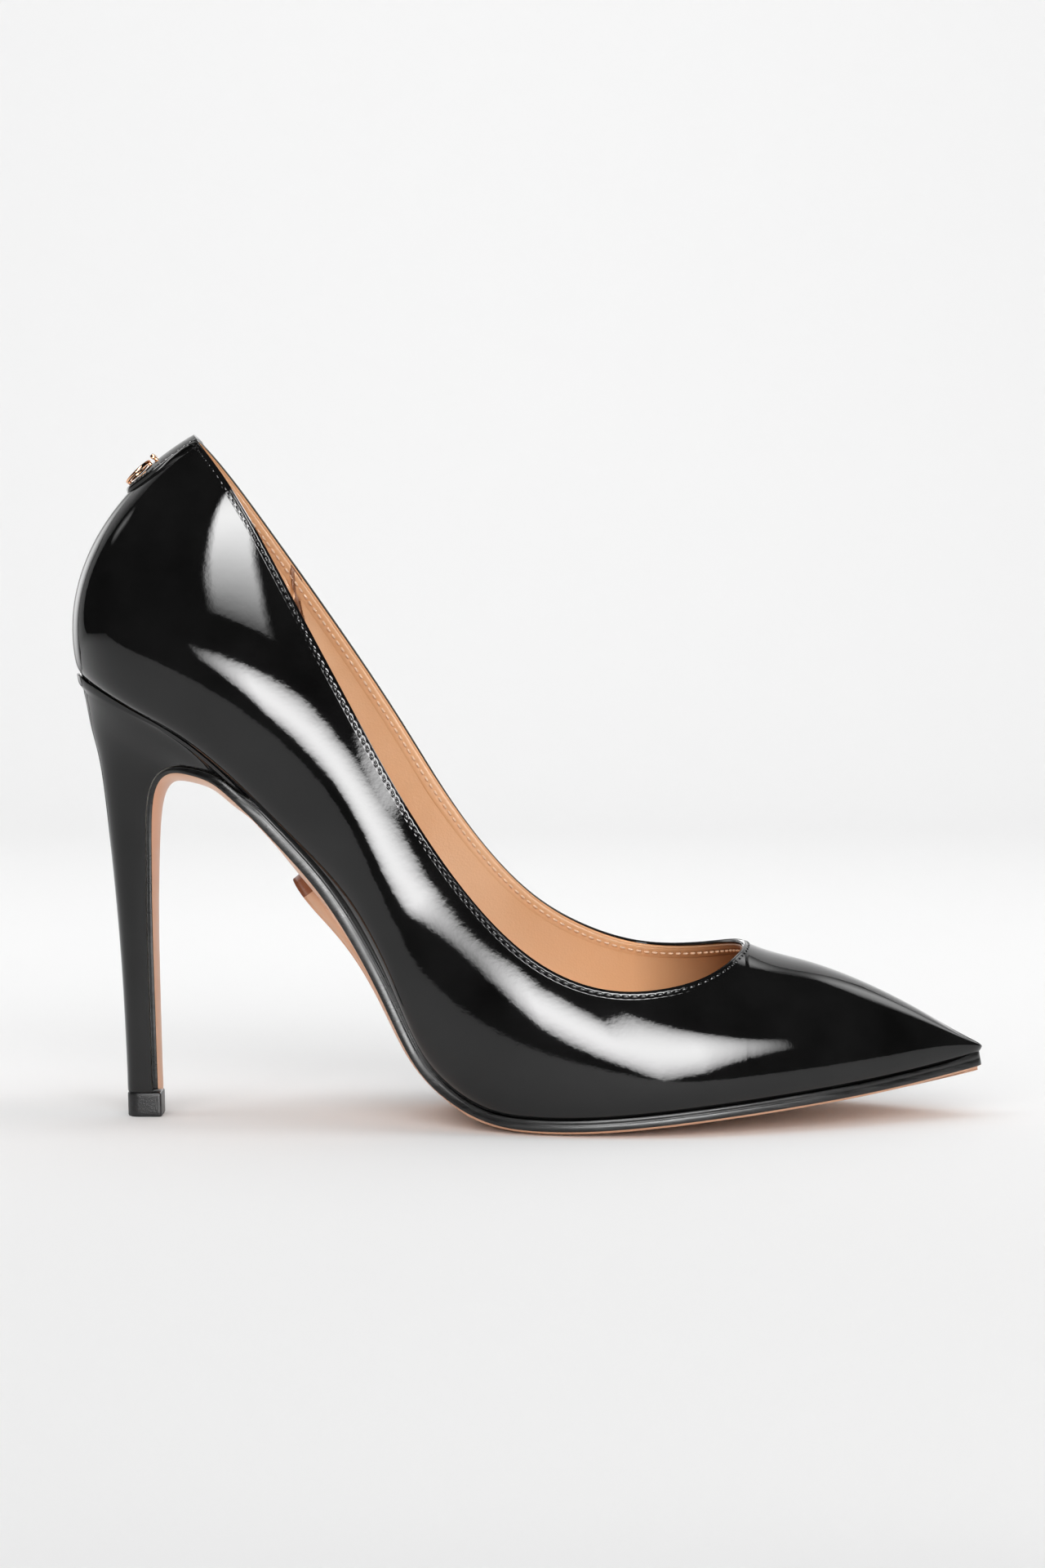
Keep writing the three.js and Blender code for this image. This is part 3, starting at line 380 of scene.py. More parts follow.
def leather_material(name, light, dark, roughness, scale, painted_shade_span=None):
    """painted_shade_span gives the two X positions between which painted shade darkens the leather towards
    the toe, standing in for the shade inside the shoe.
    """
    made, tree, shader = material(name)
    v = coordinates(tree, 1)
    tone = ramp(tree, noise(tree, v, 35 * scale, 4), [(0.3, dark), (0.7, light)])
    if painted_shade_span:
        place = node(tree, "ShaderNodeSeparateXYZ")
        tree.links.new(v, place.inputs["Vector"])
        along = node(tree, "ShaderNodeMapRange")
        along.inputs["From Min"].default_value, along.inputs["From Max"].default_value = painted_shade_span
        tree.links.new(place.outputs["X"], along.inputs["Value"])
        # painted shade: the leather turns darker brown towards the toe, where the inside of the shoe lies in
        # shade
        shade = ramp(tree, along.outputs["Result"], [(0, grey(1)), (1, (0.17, 0.09, 0.045))])
        mix = node(tree, "ShaderNodeVectorMath", operation="MULTIPLY")
        tree.links.new(tone, mix.inputs[0])
        tree.links.new(shade, mix.inputs[1])
        tone = mix.outputs["Vector"]
    tree.links.new(tone, shader.inputs["Base Color"])
    wear = [(0.3, grey(roughness - 0.08)), (0.7, grey(roughness + 0.08))]
    rough = ramp(tree, noise(tree, v, 150 * scale, 4), wear)
    tree.links.new(rough, shader.inputs["Roughness"])
    grain = node(tree, "ShaderNodeTexVoronoi", Scale=1900.0 * scale)
    tree.links.new(v, grain.inputs["Vector"])
    first = bump(tree, shader, grain.outputs["Distance"], 0.18, 0.00015)
    bump(tree, shader, noise(tree, v, 260 * scale, 5), 0.2, 0.0003, first)
    return made


def metal_material(name, colour, roughness):
    made, tree, shader = material(name)
    shader.inputs["Metallic"].default_value = 1
    v = coordinates(tree, 1)
    tone = ramp(tree, noise(tree, v, 300), [(0.3, tuple(0.85 * c for c in colour)), (0.7, colour)])
    tree.links.new(tone, shader.inputs["Base Color"])
    rough = ramp(tree, noise(tree, v, 900, 4), [(0.3, grey(roughness * 0.7)), (0.7, grey(roughness * 1.4))])
    tree.links.new(rough, shader.inputs["Roughness"])
    bump(tree, shader, noise(tree, v, 1500, 3), 0.05, 0.00005)
    return made


def matt_material(name, light, dark, roughness, scale, depth=0.0002, gloss=0.5):
    made, tree, shader = material(name)
    v = coordinates(tree, 1)
    tone = ramp(tree, noise(tree, v, scale, 5), [(0.3, dark), (0.7, light)])
    tree.links.new(tone, shader.inputs["Base Color"])
    shader.inputs["Roughness"].default_value = roughness
    shader.inputs["Specular IOR Level"].default_value = gloss
    bump(tree, shader, noise(tree, v, scale * 4, 4), 0.4, depth)
    return made


def edge_material():
    """Black edge paint with fine streaks rubbed along the edge."""
    made, tree, shader = material("edge_paint")
    streaks = noise(tree, coordinates(tree, (0.08, 0.08, 1)), 1500, 4, 0.6)
    patches = noise(tree, coordinates(tree, 1), 90, 3)
    both = node(tree, "ShaderNodeMath", operation="MULTIPLY")
    tree.links.new(streaks, both.inputs[0])
    tree.links.new(patches, both.inputs[1])
    tone = ramp(tree, both.outputs["Value"], [(0.2, grey(0.005)), (0.42, grey(0.022))])
    tree.links.new(tone, shader.inputs["Base Color"])
    rough = ramp(tree, both.outputs["Value"], [(0.15, grey(0.26)), (0.4, grey(0.42))])
    tree.links.new(rough, shader.inputs["Roughness"])
    bump(tree, shader, streaks, 0.08, 0.0001)
    return made


PATENT = patent_material()
# the lining gets painted shade between X 0.027 and 0.057 m, darker towards the toe
LINING = leather_material("lining_leather", (0.85, 0.54, 0.31), (0.79, 0.48, 0.26), 0.5, 1, (0.027, 0.057))
# painted shade: a dark brown copy of the lining, put in the crease of the puckered seam fold
LINING_FOLD_SHADE = leather_material("lining_fold_shade", (0.34, 0.15, 0.065), (0.16, 0.06, 0.022), 0.5, 1)
TONGUE_EDGE = leather_material("tongue_edge", (0.36, 0.14, 0.075), (0.2, 0.07, 0.04), 0.3, 1)
SOLE = leather_material("sole_leather", (0.8, 0.47, 0.3), (0.72, 0.4, 0.25), 0.38, 0.7)
EDGE = edge_material()
THREAD_BLACK = matt_material("thread_black", (0.012, 0.012, 0.013), grey(0.005), 0.08, 3000, 0.00002, 1)
THREAD_NUDE = matt_material("thread_nude", (0.86, 0.64, 0.46), (0.76, 0.52, 0.35), 0.6, 3000, 0.0001)
LIFT_RUBBER = matt_material("lift_rubber", (0.014, 0.014, 0.015), grey(0.005), 0.35, 900)
GOLD = metal_material("rose_gold", (0.86, 0.5, 0.3), 0.16)
STEEL = metal_material("steel", (0.5, 0.5, 0.52), 0.35)
BOARD = matt_material("fibre_board", (0.32, 0.22, 0.14), (0.2, 0.13, 0.08), 0.9, 800)
FOAM = matt_material("foam", (0.75, 0.68, 0.56), (0.6, 0.53, 0.42), 0.95, 1200)
PLASTIC = matt_material("heel_plastic", (0.72, 0.68, 0.6), (0.64, 0.6, 0.52), 0.5, 300, 0.0001)


# ---- the upper ----
UPPER_THICKNESS = 1.0
LINING_THICKNESS = 0.7
SOCK_HEIGHT = 6.4


def make_upper():
    build = Builder()
    for side in (OUTER, INNER):
        a = np.concatenate([QUARTER, VAMP])
        split = last_frame(side, a)["split"]
        top = top_of(side, a)
        v = levels(np.zeros_like(a), split, top, 16, 64)
        face = shifted(side, a, v, 0.0)
        normal = last_normal(side, a, v)
        build.grid(face, flip=side == INNER)
        build.grid(face - normal * UPPER_THICKNESS, flip=side == OUTER)
    piece = build.piece("upper_leather", [PATENT], "patent", weld=0.002)
    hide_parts("quarter_outer", "quarter_inner", "vamp")


LINING_SEAM = 3.82


def seam_lean(a, v, top):
    """How far a point lies in front of the slanting seam of the lining, in stations."""
    return a[:, None] - LINING_SEAM - 2 * np.minimum(top[:, None] - v, 0.3)


def lining_depth(a, v, top):
    """How far in from the upper's outer face the lining's hidden face lies, with a puckered seam."""
    stiff = np.maximum(1 - smooth(4.2, 5.2, a), smooth(10, 10.8, a))[:, None]
    clear = np.where((a > 9)[:, None], 1, smooth(0.03, 0.12, top[:, None] - v))
    lean = seam_lean(a, v, top)
    ripple = 1 + 0.45 * np.sin(v * 210) + 0.25 * np.sin(v * 87 + 1)
    fold = 0.9 * np.exp(-(lean / 0.035) ** 2) - 0.6 * np.exp(-((lean - 0.07) / 0.03) ** 2)
    fold = fold - 0.25 * np.exp(-((lean + 0.08) / 0.04) ** 2)
    return 1.95 + 1.05 * stiff * clear + fold * ripple * smooth(0.004, 0.02, top[:, None] - v)


def make_lining():
    build = Builder()
    seam = np.linspace(LINING_SEAM - 0.15, LINING_SEAM + 0.8, 150)
    rest = QUARTER[(QUARTER < seam[0] - 0.01) | (QUARTER > seam[-1] + 0.01)]
    a = np.sort(np.concatenate([rest, seam, VAMP[:-12]]))
    for side in (OUTER, INNER):
        split = last_frame(side, a)["split"]
        top = top_of(side, a)
        v = levels(split * 0.4, split, top, 10, 130)
        depth = lining_depth(a, v, top)
        lean = seam_lean(a, v, top)
        # faces along the puckered seam fold get the second, darker material: painted shade standing in for
        # the shade in the crease
        shaded = np.abs(lean[:-1, :-1] - 0.05) < 0.075 + 0.035 * np.sin(v[:-1, :-1] * 90)
        build.grid(shifted(side, a, v, depth), flip=side == OUTER, kind=np.where(shaded, 1, 0))
        build.grid(shifted(side, a, v, depth - LINING_THICKNESS), flip=side == INNER)
    piece = build.piece("lining_leather", [LINING, LINING_FOLD_SHADE], "lining", weld=0.002)
    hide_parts("quarter_lining", "vamp_lining")


def make_sock():
    """The sock lies on the foam and meets the lining all round."""
    a = np.concatenate([np.linspace(0.04, 1, 40)[:-1], np.linspace(1, 12.2, 200)])
    ends = []
    for side in (OUTER, INNER):
        steep = np.hypot(1, FEATHER_Z.slope(FEATHER_X(FOOT_STATION(a))))
        v = height_of(side, a, SOCK_HEIGHT * steep)[:, None]
        depth = lining_depth(a, v, v[:, 0] + 0.5) + 0.05
        ends.append(shifted(side, a, v, depth)[:, 0])
    low, high = ends
    normal = profile_normal((low[:, 0] + high[:, 0]) / 2)
    width = np.linalg.norm(high - low, axis=1)
    dish = np.minimum(0.7, width * 0.03)
    across = 0.5 - 0.5 * np.cos(np.linspace(0, np.pi, 48))

    def row(f, rise):
        sink = dish * (1 - (2 * f - 1) ** 2)
        return low + (high - low) * f + normal * (rise - sink)[:, None]

    top = [row(f, 0.25 * min(1, 25 * f, 25 * (1 - f))) for f in across]
    under = [row(f, -0.35) for f in across[::-1]]
    build = Builder()
    build.grid(np.stack(top + under, 1), close=True)
    piece = build.piece("sock_leather", [LINING], "lining", weld=0.002)
    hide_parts("sock")


# ---- what runs along the topline ----
def topline_loop(spacing):
    """Points, tangents, outward normals and upward directions, evenly spaced round the topline."""
    dense = np.concatenate([np.linspace(0, 8, 700)[:-1], 9 - (1 - np.linspace(0, 1, 500)) ** 3])
    points = []
    normals = []
    for side, stations in ((OUTER, dense), (INNER, dense[::-1][1:-1])):
        v = top_of(side, stations)[:, None]
        points.append(on_last(side, stations, v)[:, 0])
        normals.append(last_normal(side, stations, v)[:, 0])
    points = np.concatenate(points)
    normals = np.concatenate(normals)
    closed = np.concatenate([points, points[:1]])
    run = np.concatenate([[0], np.cumsum(np.linalg.norm(np.diff(closed, axis=0), axis=1))])
    count = int(round(run[-1] / spacing))
    at = np.arange(count) * run[-1] / count

    def fill(values):
        return np.stack([np.interp(at, run, np.append(values[:, k], values[0, k])) for k in range(3)], -1)

    place = fill(points)
    normal = fill(normals)
    for _ in range(6):
        place = (np.roll(place, 1, 0) + 2 * place + np.roll(place, -1, 0)) / 4
        normal = unit((np.roll(normal, 1, 0) + 2 * normal + np.roll(normal, -1, 0)) / 4)
    tangent = unit(np.roll(place, -1, 0) - np.roll(place, 1, 0))
    normal = unit(normal - tangent * np.sum(normal * tangent, -1, keepdims=True))
    up = unit(np.cross(normal, tangent))
    return place, tangent, normal, up, at


STITCH_PITCH = 2.1
STITCH_HALF = 0.8
STITCH_DROP = 1.35


def sweep(name, profile, mat, slot, pucker=0.0):
    """A closed profile of (out, up) points carried round the topline."""
    place, _, normal, up, at = topline_loop(0.35)
    wave = 0.5 + 0.5 * np.cos(2 * np.pi * at / STITCH_PITCH)
    rows = []
    for out, rise in profile:
        near = math.exp(-((rise + STITCH_DROP) / 0.45) ** 2)
        rows.append(place + normal * (out - pucker * near * wave)[:, None] + up * rise)
    grid = np.stack(rows, 1)
    grid = np.concatenate([grid, grid[:1]], 0)
    build = Builder()
    build.grid(grid, close=True)
    return build.piece(name, [mat], slot, weld=0.005)


def make_topline():
    fold = [(-0.7, -2.4), (-0.3, -2.35), (-0.08, -2.2), (0.0, -2.0), (0.02, -1.75), (-0.05, -1.35),
            (0.04, -1.0), (0.1, -0.75), (0.1, -0.45), (0.02, -0.2), (-0.16, -0.04), (-0.4, 0.0),
            (-0.7, -0.04), (-0.95, -0.2), (-1.05, -0.5), (-1.08, -2.0), (-0.9, -2.3)]
    sweep("topline_fold", fold, PATENT, "patent", 0.12)
    edge = [(-1.1, -3.0), (-1.12, -0.6), (-1.22, -0.3), (-1.45, -0.14), (-1.75, -0.2), (-1.95, -0.42),
            (-2.08, -0.8), (-2.12, -1.3), (-2.0, -1.9), (-2.1, -2.5), (-2.14, -2.9), (-2.08, -3.4),
            (-1.95, -4.2), (-1.5, -4.2)]
    sweep("lining_edge", edge, LINING, "lining", -0.08)


def capsule_mesh(build, start, end, radius, bow, sides=8, rings=7):
    """A thread: a thin rounded rod from start to end, bowed outwards in the middle."""
    axis = unit(end - start)
    helper = np.array([0, 0, 1.0]) if abs(axis[2]) < 0.9 else np.array([1.0, 0, 0])
    across = unit(np.cross(axis, helper))
    third = np.cross(axis, across)
    turn = np.linspace(0, 2 * np.pi, sides, endpoint=False)
    rows = []
    for s in np.linspace(0, 1, rings):
        width = radius * math.sqrt(max(1e-4, 1 - (2 * s - 1) ** 4))
        middle = start + (end - start) * s + bow * (1 - (2 * s - 1) ** 2)
        rows.append(middle + width * (np.cos(turn)[:, None] * across + np.sin(turn)[:, None] * third))
    build.grid(np.array(rows), close=True)


def make_topline_stitches():
    place, tangent, normal, up, _ = topline_loop(STITCH_PITCH)
    for name, mat, slot, out, drop, radius in (
            ("upper_stitches", THREAD_BLACK, "patent", 0.02, STITCH_DROP, 0.32),
            ("lining_stitches", THREAD_NUDE, "lining", -2.26, 1.9, 0.3)):
        build = Builder()
        middle = place + normal * out - up * drop
        bow = 0.12 if out > -1 else -0.12
        for p, t, n in zip(middle, tangent, normal):
            capsule_mesh(build, p - t * STITCH_HALF, p + t * STITCH_HALF, radius, bow=n * bow)
        build.piece(name, [mat], slot)


# ---- the sole ----
ARCH_S = list(range(10))
SEAT_GAP = 0.8
ARCH_X = Spline(ARCH_S, [-70, -77, -84, -90, -94.4, -96.6, -97, -97, -96.6, -96])
ARCH_TOP = float(FEATHER_Z(-70)) - SEAT_GAP
ARCH_Z = Spline(ARCH_S, [ARCH_TOP, 86.7, 89.1, 89.2, 86.2, 79, 66, 50, 30, 6.5], 5.4, -20)
ARCH_HALF = Spline(ARCH_S, [20.6, 19, 16.2, 12.8, 9.4, 7.2, 6, 5.2, 4.5, 4])
ARCH_CROWN = Spline([0, 2, 4, 6, 9], [2.4, 2.6, 2.2, 1.2, 0.8])
CROWN = through([(-113, 1.2), (-100, 1.8), (-85, 1.8), (-70, 1.4), (-62, 1.5), (-54, 2.2), (-46, 1.4),
                 (-38, 0.6), (-25, 0.2), (-10, 0), (0, 0), (113, 0)])
ARCH_END = 9
FLAP_ROUND = 0.05
SOLE_GAP = 0.15


def arch_frame(s):
    s = np.asarray(s, float)
    tangent = unit(np.stack([ARCH_X.slope(s), ARCH_Z.slope(s)], -1))
    normal = np.stack([tangent[..., 1], np.zeros_like(s), -tangent[..., 0]], -1)
    return ARCH_X(s), ARCH_Z(s), ARCH_HALF(s), normal


def sole_rows():
    """Edge points, normals, crown, thickness and rim height, from the toe to the end of the breast flap."""
    a = np.concatenate([13 - (np.linspace(0, 1, 30) ** 1.6) * 1.0, np.linspace(12, 3.95, 160)[1:]])
    outset = 1.5 * smooth(6, 7.6, a)
    front = {}
    for side in (OUTER, INNER):
        out = outward_in_plan(side, a)
        x = FEATHER_X(a) + out[:, 0] * outset
        y = np.maximum(0, FEATHER_Y[side](a) + out[:, 1] * outset)
        front[side] = np.stack([x, side * y, FEATHER_Z(x)], -1)
    x = (front[OUTER][:, 0] + front[INNER][:, 0]) / 2
    normal = profile_normal(x)
    crown = CROWN(x)
    thick = 2.0 + 0.8 * (1 - smooth(5.8, 7, a))
    welt = 0.4 + 0.4 * outset + 1.3 * smooth(11.9, 12.9, a)
    rounding = ARCH_END - FLAP_ROUND
    end = ARCH_END - (1 - np.linspace(0, 1, 12)) ** 2 * FLAP_ROUND
    s = np.concatenate([np.linspace(0.25, 5, 90), np.linspace(5, rounding, 44)[1:], end])
    ax, az, half, arch_normal = arch_frame(s)
    tip = np.sqrt(np.clip(1 - ((s - rounding) / FLAP_ROUND).clip(0, 1) ** 2, 0, 1))
    half = half * np.where(s > rounding, tip, 1)
    arch = {side: np.stack([ax, side * half, az], -1) for side in (OUTER, INNER)}
    arch_thick = 2.3 - smooth(0, 4, s)
    ends = {side: np.concatenate([front[side], arch[side]]) for side in (OUTER, INNER)}
    return (ends, np.concatenate([normal, arch_normal]), np.concatenate([crown, ARCH_CROWN(s)]),
            np.concatenate([thick, arch_thick]), np.concatenate([welt, 0 * s]))


def make_outsole():
    ends, normal, crown, thick, welt = sole_rows()
    low = ends[OUTER]
    high = ends[INNER]
    width = np.linalg.norm(high - low, axis=1)
    across = unit(np.where(width[:, None] > 1e-6, high - low, np.array([0, 1.0, 0])))
    # the section: top face, rounded edge with a shallow groove, underside, and back
    top = np.linspace(0.02, 0.98, 18)
    edge = [(-0.8, 0.0), (-0.6, 0.35), (-0.1, 0.42), (0.08, 0.36), (0.14, 0.2), (0.14, 0.05), (0.02, -0.04),
            (0.02, -0.12), (0.16, -0.2), (0.22, -0.32), (0.26, -0.5), (0.24, -0.7),
            (0.16, -0.86), (0.02, -0.96)]
    columns = []
    kinds = []

    def add(f, out, depth, kind):
        sag = crown * (1 - (2 * f - 1) ** 2)
        share = np.minimum(1, width / 4)
        if depth > 0:
            depth = depth * welt
        edge_out = across * (out * share)[:, None]
        columns.append(low + (high - low) * f + edge_out + normal * (depth * thick - SOLE_GAP - sag)[:, None])
        kinds.append(kind)

    for f in top:
        add(f, 0, 0, 1)
    for out, depth in edge:
        add(1.0, out, depth, 1)
    for f in np.linspace(0.985, 0.015, 30):
        add(f, 0, -1.0, 0)
    for out, depth in edge[::-1]:
        add(0.0, -out, depth, 1)
    grid = np.stack(columns, 1)
    kinds = np.array(kinds)
    build = Builder()
    build.grid(grid, close=True, kind=kinds[None, :], flip=True)
    piece = build.piece("outsole_leather", [SOLE, EDGE], "sole", weld=0.01)
    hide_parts("outsole")


TONGUE_END = 4.6
TONGUE_ROUND = 0.5
TONGUE_CUT = 4.78
TONGUE_HALF = through([(4.6, 9.5), (5.1, 10.4), (5.7, 12.8), (6.3, 18.5), (6.8, 30)])


def make_tread():
    rounded = TONGUE_END + TONGUE_ROUND * (1 - np.cos(np.linspace(0, np.pi / 2, 24)))
    toe = 12.9 - 0.9 * (1 - np.linspace(0, 1, 26)[1:]) ** 1.6
    a = np.concatenate([rounded, np.linspace(5.12, 12, 150), toe])
    past = np.clip((TONGUE_END + TONGUE_ROUND - a) / TONGUE_ROUND, 0, 1)
    half = TONGUE_HALF(a) * np.maximum(0.02, np.sqrt(1 - past ** 2)) + 60 * smooth(6.6, 7.2, a)
    inset = 0.5 - 1.0 * smooth(6.6, 7.6, a)
    rows = {}
    for side in (OUTER, INNER):
        out = outward_in_plan(side, a)
        px = FEATHER_X(a) - out[:, 0] * inset
        py = np.maximum(0.0, FEATHER_Y[side](a) - out[:, 1] * inset)
        rows[side] = np.stack([px, side * py, FEATHER_Z(px)], -1)
    low, high = rows[OUTER], rows[INNER]
    x = (low[:, 0] + high[:, 0]) / 2
    normal = profile_normal(x)
    crown = CROWN(x)
    width = high[:, 1] - low[:, 1]
    start = np.clip((-half - low[:, 1]) / width, 0, 1)
    end = np.clip((half - low[:, 1]) / width, 0, 1)
    thick = 2.8 - 0.8 * smooth(5.8, 7, a)
    swell = 1.9 * np.exp(-((x + 50) / 8) ** 2)
    columns = []
    rim = [(0.0, -0.1), (0.0, 0.1), (0.12, 0.32), (0.5, 0.5), (1.4, 0.72), (2.8, 0.9)]
    section = [(0, inward, depth) for inward, depth in rim]
    section += [(share, 0, 1.0) for share in np.linspace(0.12, 0.88, 24)]
    section += [(1, inward, depth) for inward, depth in rim[::-1]]
    for share, inward, depth in section:
        f = start + (end - start) * share
        slide = inward / np.maximum(width, 1e-3) * np.clip(width * (end - start) / 8, 0, 1)
        f = f + np.where(share < 0.5, slide, -slide) * (share in (0, 1))
        sag = crown * (1 - (2 * f - 1) ** 2)
        drop = SOLE_GAP + thick + depth * (1.15 + swell) + sag
        point = low + (high - low) * f[:, None] - normal * drop[:, None]
        point[:, 2] = np.maximum(point[:, 2], 0.0)
        columns.append(point)
    grid = np.stack(columns, 1)
    build = Builder()
    build.grid(grid, kind=np.where(a[:-1, None] < TONGUE_CUT, 1, 0))
    build.fan(grid[0], flip=True, close=False, kind=1)
    piece = build.piece("tread_leather", [SOLE, TONGUE_EDGE], "sole", weld=0.005)
    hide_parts("forepart_tread")


# ---- the heel ----
BACK_X = Spline(ARCH_S, [-113, -113.2, -112.7, -112.1, -111, -109, -107, -105.2, -103.7, -102.7])
BACK_TOP = float(FEATHER_Z(-113)) - SEAT_GAP
BACK_Z = Spline(ARCH_S, [BACK_TOP, 108.9, 106.2, 102.8, 97.4, 88.5, 72, 53, 31, 6.7])
WIDEST = Spline([0, 3, 6, 9], [0.62, 0.7, 0.66, 0.6])
LIFT_HEIGHT = 6.2
COVER_THICKNESS = 0.7


def heel_side(side, t, level, lift):
    """The heel's side: t (N) from the back (0) to the rim of the breast (1), level (M) from the seat down."""
    t = np.asarray(t, float)[:, None]
    level = np.asarray(level, float)[None]
    ax, az, half, normal = arch_frame(level)
    bottom = smooth(8.8, 9, level)
    rim_x = ax + normal[..., 0] * 0.15
    rim_z = (az + normal[..., 2] * 0.15) * (1 - bottom) + (LIFT_HEIGHT + 0.1) * bottom
    u = 1 - np.cos(t * np.pi / 2)
    x = BACK_X(level) + (rim_x - BACK_X(level)) * u
    seat_x = BACK_X(0) + (ARCH_X(0) - BACK_X(0)) * u
    sag = FEATHER_Z(seat_x) - (FEATHER_Z(BACK_X(0)) * (1 - u) + FEATHER_Z(ARCH_X(0)) * u)
    back_z = BACK_Z(level) * (1 - bottom) + (LIFT_HEIGHT + 0.1) * bottom
    z = back_z + (rim_z - back_z) * u + (1 - smooth(0, 3.2, level)) * sag + lift * (1 - smooth(0, 0.6, level))
    centre = WIDEST(level)
    nose = np.abs(1 - np.minimum(u, centre) / centre)
    rounded = (1 - nose ** 2.15) ** (1 / 2.15)
    past = np.clip((u - centre) / (1 - centre), 0, 1)
    tuck = 0.04 + 0.08 * smooth(3, 7, level)
    y = side * half * rounded * (1 - tuck * past ** 2) / (1 - tuck)
    return np.stack([x + 0 * y, y, z + 0 * y], -1)


def near_back(t):
    """1 at the back of the heel, fading towards its sides."""
    return np.exp(-(t[:, None] / 0.3) ** 2)


def heel_lip(t, level):
    """How far the top of the heel reaches back behind the upper."""
    return 1.7 * near_back(t) * (1 - smooth(0, 1.3, level))[None]


def make_heel_cover():
    build = Builder()
    t = np.linspace(0, 1, 44)
    level = np.concatenate([np.linspace(0, 4, 90)[:-1], np.linspace(4, ARCH_END, 90)])
    for side in (OUTER, INNER):
        outer = heel_side(side, t, level, 0.55 + 0.9 * near_back(t))
        outer[..., 0] -= heel_lip(t, level)
        grad_t = np.gradient(outer, axis=0)
        grad_l = np.gradient(outer, axis=1)
        normal = unit(np.cross(grad_l, grad_t)) * (1 if side == OUTER else -1)
        normal[0, :, 1] = 0
        inner = outer - unit(normal) * COVER_THICKNESS
        build.grid(outer, flip=side == OUTER)
        build.grid(inner, flip=side == INNER)
        build.grid(np.stack([outer[:, 0], inner[:, 0]], 0), flip=side == INNER)
        build.grid(np.stack([outer[-1], inner[-1]], 0), flip=side == INNER)
        build.grid(np.stack([outer[:, -1], inner[:, -1]], 0), flip=side == OUTER)
    piece = build.piece("heel_wrap", [PATENT], "patent", weld=0.01, sharp=50)
    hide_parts("heel_cover")


def rounded_outline(length, width, round_back, round_front, steps=10):
    """A rectangle with rounded corners, larger ones at the back (-X)."""
    points = []
    corners = ((1, -1, round_front, -90), (1, 1, round_front, 0),
               (-1, 1, round_back, 90), (-1, -1, round_back, 180))
    for along, across, radius, turn in corners:
        x = along * length / 2
        y = across * width / 2
        centre = (x - math.copysign(radius, x), y - math.copysign(radius, y))
        for i in range(steps + 1):
            angle = math.radians(turn + 90 * i / steps)
            points.append((centre[0] + radius * math.cos(angle), centre[1] + radius * math.sin(angle)))
    return np.array(points)


LIFT_CENTRE_X = -98.1
LIFT_LENGTH = 8.8
LIFT_WIDTH = 9


def make_top_lift():
    levels_up = [(0.0, 3.0), (0.0, 0.9), (0.0, 0.35), (0.1, 0.12), (0.35, 0.0), (1.2, 0.0), (5.2, 0.0),
                 (5.75, 0.03), (6.0, 0.15), (LIFT_HEIGHT, 0.45), (LIFT_HEIGHT, 3.0)]
    rows = []
    for z, inset in levels_up:
        outline = rounded_outline(LIFT_LENGTH - 2 * inset, LIFT_WIDTH - 2 * inset, max(0.3, 3.2 - inset),
                                  max(0.15, 0.8 - inset))
        x = outline[:, 0] + LIFT_CENTRE_X - 0.02 * z
        rows.append(np.stack([x, outline[:, 1], np.full(len(outline), z)], -1))
    build = Builder()
    build.grid(np.array(rows), close=True, flip=True)
    build.fan(rows[0])
    build.fan(rows[-1], flip=True)
    piece = build.piece("lift_block", [LIFT_RUBBER], "lift", weld=0.01, sharp=60)
    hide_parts("top_lift")


# ---- the heel tab and its ornament ----
TAB_HALF = 1.15
TAB_DEPTH = 0.225
TAB_THICKNESS = 0.8
TAB_GAP = 0.3
# roughly the tab's half width and its height in millimetres
TAB_ACROSS = 14
TAB_UP = 13
TAB_STITCH_INSET = 1.15
TAB_STITCH_PITCH = 1.9
TAB_STITCH_LENGTH = 1.3


def tab_surface(u, w, depth):
    """Points on the tab: u runs across (-1 outer, +1 inner side), w from its lower edge to the topline."""
    a = TAB_HALF * np.sin(np.abs(u) * np.pi / 2)
    shape = TAB_DEPTH * (0.12 + 0.88 * np.sqrt(np.clip(1 - (a / TAB_HALF) ** 3, 0, 1)))
    points = np.zeros(u.shape + (3,))
    normals = np.zeros(u.shape + (3,))
    for side in (OUTER, INNER):
        mask = (u < 0) if side == OUTER else (u >= 0)
        top = top_of(side, a[mask])
        v = (top - shape[mask] * (1 - w[mask]))[:, None]
        points[mask] = on_last(side, a[mask], v)[:, 0]
        normals[mask] = last_normal(side, a[mask], v)[:, 0]
    return points + normals * np.asarray(depth)[..., None], normals


def make_tab():
    build = Builder()
    u = 2 * (np.arange(97) / 96) - 1
    w = 1 - np.cos(np.linspace(0, np.pi / 2, 60))
    uu, ww = np.meshgrid(u, w, indexing="ij")
    edge = np.minimum((1 - np.abs(uu)) * TAB_ACROSS, ww * TAB_UP)
    crown = 1 - np.clip(1 - edge / 0.8, 0, 1) ** 2.5
    dent = 0.16 * np.exp(-((edge - TAB_STITCH_INSET) / 0.28) ** 2)
    outer, _ = tab_surface(uu, ww, TAB_GAP - 0.25 + (TAB_THICKNESS + 0.2) * crown - dent)
    inner, _ = tab_surface(uu, ww, np.full(uu.shape, 0.02))
    build.grid(outer)
    build.grid(inner, flip=True)
    build.grid(np.stack([outer[:, -1], inner[:, -1]], 1))
    piece = build.piece("tab_leather", [PATENT], "patent", weld=0.01, sharp=70)
    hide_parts("heel_tab")


